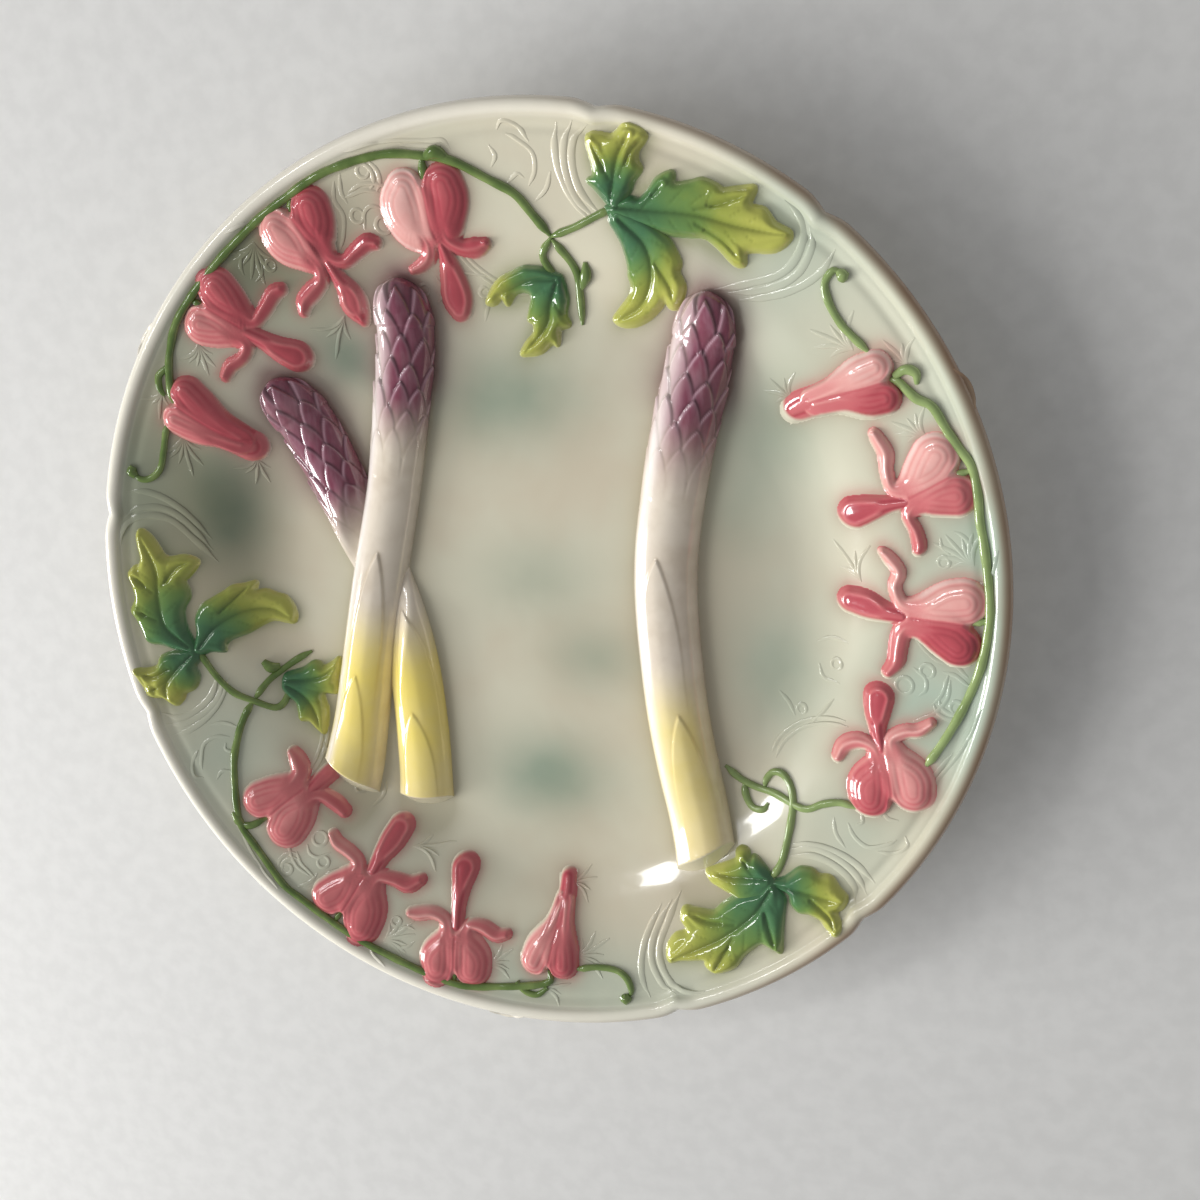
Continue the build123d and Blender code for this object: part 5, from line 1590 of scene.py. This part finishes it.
@dataclass
class PlateBody:
    """The dish itself, with the colour that the motifs left in its glaze."""

    form: PlateForm
    flowers: Sequence[Flower]
    leaves: Sequence[Leaf]
    spears: Sequence[Spear]
    segments: int = 600
    ring_step: float = 1.15
    rim_ring_step: float = 0.36
    rim_from: float = 110.5
    tint_step: float = 1.4
    right_from: float = -20.0
    right_full: float = 100.0
    lip_highlight_from: float = 114.6
    lip_highlight_full: float = 117.0
    worn_and_shade_from: float = 118.6

    def profile(self) -> np.ndarray:
        """Draw the profile that is turned.

        Returns:
            Points from the middle of the well over the lip to the middle of the underside.
        """
        form = self.form
        top_r = np.concatenate([np.arange(self.ring_step, self.rim_from, self.ring_step),
                                np.arange(self.rim_from, form.radius, self.rim_ring_step), [form.radius]])
        upper = np.column_stack([top_r, form.top(top_r)])
        underside = form.floor_top - form.floor_thickness
        lip = form.radius - form.lip_width / 2
        shoulder, shoulder_height = form.corners()[2]
        corners = [(form.radius - 0.2, form.slope(form.radius) - form.lip_drop - 1.4),
                   (lip, form.slope(lip) - form.rim_thickness),
                   (shoulder, shoulder_height - form.rim_thickness),
                   (form.foot_radius + form.foot_draft, underside), (form.foot_radius, 0.0),
                   (form.foot_radius - form.foot_width, 0.0),
                   (form.foot_radius - form.foot_width - form.foot_draft, underside), (6.0, underside)]
        return np.vstack([upper, self.rounded([tuple(upper[-1]), *corners])[1:]])

    @staticmethod
    def rounded(corners: Sequence[Point], reach: float = 0.8, spacing: float = 4.0) -> np.ndarray:
        """Round the corners of a profile and divide its long runs.

        Args:
            corners: Corners as (radius, height).
            reach: How far before and after a corner its rounding starts.
            spacing: Longest run between points.

        Returns:
            The points of the rounded profile.
        """
        p = np.asarray(corners, float)
        points = [p[0]]
        for before, here, after in zip(p, p[1:], p[2:]):
            start = here + (before - here) / np.hypot(*(before - here)) * reach
            end = here + (after - here) / np.hypot(*(after - here)) * reach
            count = max(1, math.ceil(np.hypot(*(start - points[-1])) / spacing))
            points += list(np.linspace(points[-1], start, count + 1)[1:])
            points += [start * 0.36 + here * 0.48 + end * 0.16, start * 0.16 + here * 0.48 + end * 0.36, end]
        count = max(1, math.ceil(np.hypot(*(p[-1] - points[-1])) / spacing))
        return np.array([*points, *np.linspace(points[-1], p[-1], count + 1)[1:]])

    def tints(self, x: np.ndarray, y: np.ndarray) -> Marks:
        """Colour in the dish's glaze, painted shade and highlight included.

        Args:
            x: Plan places to the right.
            y: Plan places upwards.

        Returns:
            Strength of each tint at the places.
        """
        # The pooled tint darkens round the motifs, as pooled glaze and painted shade
        blush, green, haze, pool_and_shade = (np.zeros_like(x) for _ in range(4))
        for flower in self.flowers:
            for stations, painted in zip(flower.strokes, flower.painted_strokes()):
                self.spread(blush, x, y, painted, 1.2, 0.45)
                self.spread(pool_and_shade, x, y, Stroke(stations, self.tint_step), 2.6, 0.35)
        for leaf in self.leaves:
            for stations in leaf.strokes:
                stroke = Stroke(stations, self.tint_step)
                self.spread(green, x, y, stroke, 1.5, 0.45)
                self.spread(pool_and_shade, x, y, stroke, 2.6, 0.3)
        for spear in self.spears:
            stroke = Stroke(spear.stations, self.tint_step)
            self.spread(pool_and_shade, x, y, stroke, 3.0, 0.45)
            self.spread(haze, x, y, stroke, 4.0, 0.7, spear.head_end[0])
        wash = sum(cloud.cover(x, y) for cloud in WASHES)
        sponge_and_shade = sum(cloud.cover(x, y) for cloud in SPONGES_AND_SHADE)
        # Painted shade on the left of the dish
        pool_and_shade = np.maximum(pool_and_shade, sum(cloud.cover(x, y) for cloud in SHADE_CLOUDS))
        right = ease(self.right_from, self.right_full, x)
        r = np.hypot(x, y)
        # Outer lip: brown wear and painted shade, broadest on the right where the lip turns away from the
        # light
        past = (r - self.worn_and_shade_from + 2.2 * right) / (1.3 + 1.6 * right)
        worn_and_shade = ease(0.0, 1.0, past) * (0.12 + 0.88 * right)
        # Painted highlight along the left and top of the lip
        thin_and_highlight = ease(self.lip_highlight_from, self.lip_highlight_full, r) * (1.0 - right)
        return {"wash": np.clip(wash, 0, 1), "sponge_and_shade": np.clip(sponge_and_shade, 0, 1), "blush": blush, "green": green,
                "haze": haze, "pool_and_shade": pool_and_shade, "thin_and_highlight": thin_and_highlight, "worn_and_shade": worn_and_shade, "right": right}

    @staticmethod
    def spread(tint: np.ndarray, x: np.ndarray, y: np.ndarray, stroke: Stroke, reach: float, strength: float,
               until: float = math.inf) -> None:
        """Let colour run out from a stroke.

        Args:
            tint: Tint to add to, changed in place.
            x: Plan places to the right.
            y: Plan places upwards.
            stroke: Where the colour comes from.
            reach: How far it runs, in millimetres.
            strength: Strength at the outline.
            until: Distance along the stroke at which the colour ends.
        """
        low, high = stroke.box(4.0 * reach)
        near = np.flatnonzero((x > low[0]) & (x < high[0]) & (y > low[1]) & (y < high[1]))
        read = stroke.read(x[near], y[near])
        ran = strength * np.exp(-np.maximum(read.gap, 0.0) / reach)
        if until < math.inf:
            ran *= ease(until + 6.0, until - 6.0, read.run)
        tint[near] = np.maximum(tint[near], ran)

    def build(self) -> bpy.types.Mesh:
        """Turn the profile round the axis and tint the upper side.

        Returns:
            The closed mesh of the dish.
        """
        profile = self.profile()
        count = len(profile)
        angle = np.linspace(0.0, 2 * math.pi, self.segments, endpoint=False)
        drawn_in = self.form.nick(angle)
        share = self.form.nick_share(profile[:, 0])
        r = profile[:, 0:1] - share[:, None] * drawn_in[None, :]
        x, y = r * np.cos(angle), r * np.sin(angle)
        z = np.repeat(profile[:, 1:2], self.segments, axis=1)
        middle_top = (0.0, 0.0, self.form.floor_top)
        middle_low = (0.0, 0.0, profile[-1, 1])
        points = np.vstack([np.column_stack([x.ravel(), y.ravel(), z.ravel()]), middle_top, middle_low])
        on_top = int(np.argmax(profile[:, 0])) + 1
        tints = self.tints(np.append(x[:on_top], 0.0), np.append(y[:on_top], 0.0))
        below = np.zeros((count - on_top) * self.segments)
        marks = {mark: np.concatenate([values[:-1], below, values[-1:], [0.0]])
                 for mark, values in tints.items()}
        return mesh_from_arrays("plate_body", points, swept_faces(count, self.segments), marks)

    def tint(self, mesh: bpy.types.Mesh) -> None:
        """Give a mesh that lies on the dish the dish's own tints.

        Args:
            mesh: The mesh, in place.
        """
        places = np.empty(3 * len(mesh.vertices), np.float32)
        mesh.vertices.foreach_get("co", places)
        x, y = places.reshape(-1, 3)[:, :2].T.astype(float) / MM
        set_marks(mesh, self.tints(x, y))

    def dress(self, finish: bpy.types.Material) -> bpy.types.Object:
        """Build the dish and give it its glaze."""
        return settle("plate_body_glazed", self.build(), finish, Glaze.CREAM, ["plate_body"])


class LineTree:
    """Geometry Nodes tree that moulds a rounded line along drawn paths."""

    def __init__(self) -> None:
        """Build the tree with its named inputs."""
        self.tree = bpy.data.node_groups.new("moulded_line", "GeometryNodeTree")
        face = self.tree.interface
        face.new_socket("Geometry", in_out="INPUT", socket_type="NodeSocketGeometry")
        self.flatten = face.new_socket("Flatten", in_out="INPUT", socket_type="NodeSocketFloat").identifier
        self.sides = face.new_socket("Sides", in_out="INPUT", socket_type="NodeSocketInt").identifier
        self.finish = face.new_socket("Finish", in_out="INPUT", socket_type="NodeSocketMaterial").identifier
        face.new_socket("Geometry", in_out="OUTPUT", socket_type="NodeSocketGeometry")
        given = self.add("NodeGroupInput")
        line = self.add("GeometryNodeMeshToCurve", {"Mesh": given.outputs["Geometry"]})
        upright = self.add("GeometryNodeSetCurveNormal", {"Curve": line.outputs[0]}, mode="Z_UP")
        ring = self.add("GeometryNodeCurvePrimitiveCircle", {
            "Resolution": given.outputs["Sides"], "Radius": MM})
        ratio = self.add("ShaderNodeCombineXYZ", {"X": 1.0, "Y": given.outputs["Flatten"], "Z": 1.0})
        section = self.add("GeometryNodeTransform", {"Geometry": ring.outputs[0], "Scale": ratio.outputs[0]})
        width = self.add("GeometryNodeInputNamedAttribute", {"Name": "width"}, data_type="FLOAT")
        tube = self.add("GeometryNodeCurveToMesh", {
            "Curve": upright.outputs[0], "Profile Curve": section.outputs[0], "Scale": width.outputs[0],
            "Fill Caps": True})
        smooth = self.add("GeometryNodeSetShadeSmooth", {"Geometry": tube.outputs[0]})
        real = self.add("GeometryNodeRealizeInstances", {"Geometry": smooth.outputs[0]})
        glazed = self.add("GeometryNodeSetMaterial", {
            "Geometry": real.outputs[0], "Material": given.outputs["Finish"]})
        self.add("NodeGroupOutput", {0: glazed.outputs[0]})

    def add(self, kind: str, sockets: Mapping = {}, **settings: object) -> bpy.types.Node:
        """Add a node to the tree, with the arguments of add_node."""
        return add_node(self.tree, kind, settings, sockets)

    def mould(self, piece: "LineWork", finish: bpy.types.Material) -> bpy.types.Mesh:
        """Run the tree along the paths of a piece on the plate.

        Args:
            piece: The lines, with their section.
            finish: Material of the lines.

        Returns:
            The plain mesh of all lines.
        """
        paths = piece.paths()
        edges, start = [], 0
        for path in paths:
            edges += [(start + n, start + n + 1) for n in range(len(path) - 1)]
            start += len(path)
        points = np.vstack(paths)
        z = piece.form.ground(points[:, 0], points[:, 1]) + piece.lift * points[:, 2]
        guide = bpy.data.meshes.new(f"{piece.name}_guide")
        guide.from_pydata((np.column_stack([points[:, :2], z]) * MM).tolist(), edges, [])
        set_marks(guide, {"width": points[:, 2]})
        holder = bpy.data.objects.new(f"{piece.name}_guide", guide)
        bpy.context.scene.collection.objects.link(holder)
        modifier = holder.modifiers.new("moulded_line", "NODES")
        modifier.node_group = self.tree
        modifier[self.flatten] = piece.flatten
        modifier[self.sides] = piece.sides
        modifier[self.finish] = finish
        shaped = holder.evaluated_get(bpy.context.evaluated_depsgraph_get())
        mesh = bpy.data.meshes.new_from_object(shaped)
        mesh.name = piece.name
        bpy.data.objects.remove(holder)
        bpy.data.meshes.remove(guide)
        return mesh


@dataclass
class LineWork:
    """A vine, stalk, tendril, scroll or fine ground embossing: lines that taper at their loose ends."""

    name: str
    lines: Sequence[Sequence[Point]]
    half_width: float
    glaze: Glaze
    form: PlateForm
    knots: Sequence[Sequence[Station]] = ()
    lift: float = 0.3
    flatten: float = 0.85
    sides: int = 14
    taper: float = 3.0
    thin_end: float = 0.45
    blunt: float = 0.0
    swell: float = 0.08
    step: float = 0.8
    has_solid: bool = True

    def paths(self) -> list[np.ndarray]:
        """Thin the lines towards both ends.

        Returns:
            Smooth paths with rows of (x, y, half width).
        """
        made = []
        for line in self.lines:
            path = smooth_path(line, self.step)
            run = run_length(path)
            ends = np.minimum(run, run[-1] - run) + self.blunt
            swell = 1.0 + self.swell * np.sin(run * 0.7) * np.sin(run * 0.23 + 1.0)
            share = self.thin_end + (1.0 - self.thin_end) * ease(0.0, self.taper, ends)
            made.append(np.column_stack([path, self.half_width * share * swell]))
        return made + [smooth_path(knot, self.step) for knot in self.knots]

    def dress(self, tree: LineTree, finish: bpy.types.Material, body: PlateBody) -> bpy.types.Object:
        """Mould the lines and give them their glaze, with the dish's own tints.

        Args:
            tree: What moulds them.
            finish: Their material.
            body: The dish that they lie on.

        Returns:
            The piece.
        """
        mesh = tree.mould(self, finish)
        body.tint(mesh)
        if self.has_solid:
            return settle(f"{self.name}_relief", mesh, finish, self.glaze, [self.name])
        return settle(self.name, mesh, finish, self.glaze)


@dataclass(frozen=True)
class Tuft:
    """A fan of curved grass blades that is pressed into the rim beside the flowers."""

    x: float
    y: float
    heading: float
    spread: float
    length: float
    count: int

    def blades(self) -> list[list[Point]]:
        """Draw the blades, the outer ones shorter and more bent.

        Returns:
            Points of each blade.
        """
        lines = []
        for share in np.linspace(-0.5, 0.5, self.count):
            way = math.radians(self.heading + self.spread * share)
            bend = math.radians(40.0) * share
            length = self.length * (1.0 - 0.5 * abs(share)) * (0.9 + 0.2 * math.sin(9.0 * share))
            points = [(self.x, self.y)]
            for part in (0.3, 0.3, 0.4):
                x, y = points[-1]
                points.append((x + part * length * math.cos(way), y + part * length * math.sin(way)))
                way += bend
            lines.append(points)
        return lines


TUFTS = (
    Tuft(-92.5, 44.5, -98.0, 64.0, 11.0, 6), Tuft(-83.0, 68.5, -95.0, 60.0, 8.5, 6),
    Tuft(-95.0, 57.0, -122.0, 40.0, 8.0, 4), Tuft(-62.5, 92.5, -108.0, 74.0, 10.5, 7),
    Tuft(-44.5, 73.0, -128.0, 28.0, 12.0, 4), Tuft(-75.5, 37.0, -104.0, 70.0, 8.0, 5))


def ground_lines(turn: float) -> list[list[Point]]:
    """Draw the fine lines in the ground of one spray.

    Args:
        turn: Place of the spray, in degrees round the plate.

    Returns:
        Its swirls, ring berries and blades of grass.
    """
    rings = [[(x + radius * math.cos(a), y + radius * math.sin(a)) for a in np.linspace(0.0, 6.4, 14)]
             for x, y, radius in RING_BERRIES]
    blades = [blade for tuft in TUFTS for blade in tuft.blades()]
    return [turn_line(line, turn) for line in [*SWIRLS, *rings, *blades]]


@dataclass
class Stage:
    """Pale floor, soft studio light and the camera."""

    floor_half: float = 4.0
    floor_colours: tuple[Colour, Colour] = (srgb(214, 213, 210), srgb(220, 219, 216))
    camera_place: tuple[float, float, float] = (0.10349, 0.07076, 0.3101)
    camera_right: tuple[float, float, float] = (0.96385, -0.06400, -0.25866)
    camera_up: tuple[float, float, float] = (0.0, 0.97073, -0.24017)
    lens: float = 36.741
    sensor: float = 36.0
    world_colour: Colour = srgb(236, 238, 242)
    world_strength: float = 0.225

    def build(self) -> None:
        """Set up floor, lamps, world, camera and the plain view transform."""
        self.floor()
        panes = ((147.0, 50.0), (157.0, 46.0), (167.0, 42.0))
        for number, (azimuth, elevation) in enumerate(panes, start=1):
            self.lamp(f"window_pane_{number}", azimuth, elevation, 1.0, size=(0.08, 0.09), power=0.35)
        self.lamp("side_light", 193.0, 12.0, 1.0, size=(0.3, 0.4), power=6.4)
        self.lamp("left_light", 200.0, 29.0, 1.5, size=(1.4, 1.0), power=22.0, gloss=False)
        self.lamp("fill_light", 35.0, 58.0, 1.3, size=(0.9, 0.9), power=2.2, gloss=False)
        self.world()
        self.camera()
        bpy.context.scene.view_settings.view_transform = "Standard"

    def floor(self) -> None:
        """Lay the floor under the foot ring."""
        book = ShaderBook("pale_floor")
        grain = book.noise(6.0, 4.0)
        colour = book.blend(grain.step(0.3, 0.7), *self.floor_colours)
        shader = book.node("ShaderNodeBsdfPrincipled", {}, {"Base Color": colour, "Roughness": 0.8})
        book.node("ShaderNodeOutputMaterial", {}, {"Surface": shader.outputs[0]})
        half = self.floor_half
        mesh = bpy.data.meshes.new("floor")
        mesh.from_pydata([(-half, -half, 0), (half, -half, 0), (half, half, 0), (-half, half, 0)], [],
                         [(0, 1, 2, 3)])
        mesh.materials.append(book.material)
        floor = bpy.data.objects.new("floor", mesh)
        bpy.context.scene.collection.objects.link(floor)

    @staticmethod
    def lamp(name: str, azimuth: float, elevation: float, distance: float, size: tuple[float, float],
             power: float, gloss: bool = True) -> None:
        """Hang a soft lamp that faces the plate.

        Args:
            name: Name of the lamp.
            azimuth: Direction from the plate, in degrees from +X towards +Y.
            elevation: Angle over the floor, in degrees.
            distance: Distance from the plate, in metres.
            size: Width and height of its face, in metres.
            power: Power in watts.
            gloss: Whether its face mirrors in the glaze.
        """
        data = bpy.data.lights.new(name, "AREA")
        data.shape = "RECTANGLE"
        data.size, data.size_y = size
        data.energy = power
        a, e = math.radians(azimuth), math.radians(elevation)
        way = Vector((math.cos(a) * math.cos(e), math.sin(a) * math.cos(e), math.sin(e)))
        lamp = bpy.data.objects.new(name, data)
        lamp.visible_glossy = gloss
        lamp.location = way * distance
        lamp.rotation_mode = "QUATERNION"
        lamp.rotation_quaternion = way.to_track_quat("Z", "Y")
        bpy.context.scene.collection.objects.link(lamp)

    def world(self) -> None:
        """Give the room its even light."""
        world = bpy.data.worlds.new("studio")
        world.use_nodes = True
        sky = world.node_tree.nodes["Background"]
        sky.inputs["Color"].default_value = (*self.world_colour, 1.0)
        sky.inputs["Strength"].default_value = self.world_strength
        bpy.context.scene.world = world

    def camera(self) -> None:
        """Set the camera at the photograph's viewing angle."""
        data = bpy.data.cameras.new("camera")
        data.lens = self.lens
        data.sensor_width = self.sensor
        data.clip_start = 0.01
        right, up = Vector(self.camera_right), Vector(self.camera_up)
        back = right.cross(up)
        camera = bpy.data.objects.new("camera", data)
        turn = Matrix((right, up, back)).transposed().to_4x4()
        camera.matrix_world = Matrix.Translation(self.camera_place) @ turn
        bpy.context.scene.collection.objects.link(camera)
        bpy.context.scene.camera = camera


def make_flowers(form: PlateForm) -> list[Flower]:
    """Draw the flowers, with the depth of rose on both petals and the tail.

    Args:
        form: The dish under them.

    Returns:
        All heart flowers and buds.
    """
    tones = {
        "upper_flower_1": (0.22, 0.64, 0.68), "upper_flower_2": (0.34, 0.66, 0.60),
        "upper_flower_3": (0.64, 0.40, 0.70), "lower_flower_1": (0.52, 0.40, 0.55),
        "lower_flower_2": (0.58, 0.52, 0.64), "lower_flower_3": (0.55, 0.48, 0.72),
        "right_flower_1": (0.36, 0.66, 0.74), "right_flower_2": (0.31, 0.75, 0.70),
        "right_flower_3": (0.27, 0.46, 0.74), "upper_bud": (0.66, 0.42, 0.6),
        "lower_bud": (0.40, 0.58, 0.68), "right_bud": (0.22, 0.66, 0.55)}
    shifts = {"upper": (-0.7, 0.4), "lower": (0.7, -0.7), "right": (0.2, 1.2), "right_bud": (1.6, 1.5)}
    bud = {"blossom": Blossom.BUD, "rise": 3.0}
    made = []
    for name, strokes in FLOWER_STROKES.items():
        shift = shifts.get(name, shifts[name.split("_")[0]])
        kind = bud if name.endswith("_bud") else {}
        made.append(Flower(name, strokes, tones[name], form, paint_shift=shift, **kind))
    return made


def make_leaves(form: PlateForm) -> list[Leaf]:
    """Draw the leaves.

    Args:
        form: The dish under them.

    Returns:
        All leaflets of the three panels.
    """
    return [Leaf(name, strokes, Outline(LEAF_OUTLINES[name]), form)
            for name, strokes in LEAF_STROKES.items()]


def make_spears(form: PlateForm) -> list[Spear]:
    """Draw the spears, with the long bracts on their shafts.

    Args:
        form: The dish under them.

    Returns:
        The three spears.
    """
    right = (Bract(66.5, 98.0, 46.0, 40.0, 0.4, 28.0), Bract(108.0, 78.0, 40.0, 36.0, 0.35, 28.0))
    front = (Bract(72.0, 84.0, 50.0, 34.0, 0.45, 30.0), Bract(108.0, 96.0, 40.0, 34.0, 0.35, 26.0))
    back = (Bract(69.5, 70.0, 40.0, 44.0, 0.4, 26.0), Bract(98.0, 88.0, 36.0, 38.0, 0.35, 22.0))
    return [Spear("spear_right", SPEAR_RIGHT, 7.6, (28.0, 54.0), (92.0, 114.0), right, form,
                  cut_skew=-0.3, yellow_strength=0.7),
            Spear("spear_left_front", SPEAR_LEFT_FRONT, 7.6, (28.0, 47.0), (84.0, 106.0), front, form,
                  cut_skew=0.4),
            Spear("spear_left_back", SPEAR_LEFT_BACK, 6.4, (32.0, 50.0), (68.0, 88.0), back, form,
                  SPEAR_LEFT_FRONT, lit_flank_paling=0.1, white_edge=0.1)]


def make_lines(form: PlateForm) -> list[LineWork]:
    """Draw the lines.

    Args:
        form: The dish under them.

    Returns:
        All vines, stalks, tendrils and scrolls, and the fine lines in the ground.
    """
    lines = [LineWork(name, drawn, half_width, Glaze.STEM, form, KNOTS.get(name, ()))
             for group, half_width in ((STEMS, 1.0), (VINES, 1.1), (TENDRILS, 0.95))
             for name, drawn in group.items()]
    for panel, turn in PANEL_TURNS.items():
        for side, drawn in (("left", SCROLL_LEFT), ("right", SCROLL_RIGHT)):
            scroll = [turn_line(line, turn) for line in drawn]
            lines.append(LineWork(f"{panel}_scroll_{side}", scroll, 1.15, Glaze.CREAM, form, lift=-0.15,
                                  flatten=0.34, thin_end=0.2, taper=6.0))
    for panel, turn in PANEL_TURNS.items():
        lines.append(LineWork(f"{SPRAYS[panel]}_ground_embossing", ground_lines(turn), 0.7, Glaze.CREAM, form,
                              lift=-0.13, flatten=0.31, sides=10, thin_end=0.35, blunt=0.4, swell=0.0,
                              step=0.7, has_solid=False))
    return lines


def main() -> None:
    """Build the plate, its ornament and the studio."""
    logging.basicConfig(level=logging.INFO, format="%(name)s %(message)s")
    makers = {Glaze.CREAM: CreamGlaze, Glaze.SPEAR: SpearGlaze, Glaze.PINK: PinkGlaze,
              Glaze.LEAF: LeafGlaze, Glaze.STEM: StemGlaze}
    finishes = {glaze: maker().make() for glaze, maker in makers.items()}
    form = PlateForm()
    flowers, leaves, spears = make_flowers(form), make_leaves(form), make_spears(form)
    body = PlateBody(form, flowers, leaves, spears)
    body.dress(finishes[Glaze.CREAM])
    for spear in spears:
        spear.dress(finishes[Glaze.SPEAR])
    for flower in flowers:
        flower.dress(finishes[Glaze.PINK])
    for leaf in leaves:
        leaf.dress(finishes[Glaze.LEAF])
    tree = LineTree()
    for line in make_lines(form):
        line.dress(tree, finishes[line.glaze], body)
    Stage().build()


if __name__ == "__main__":
    main()
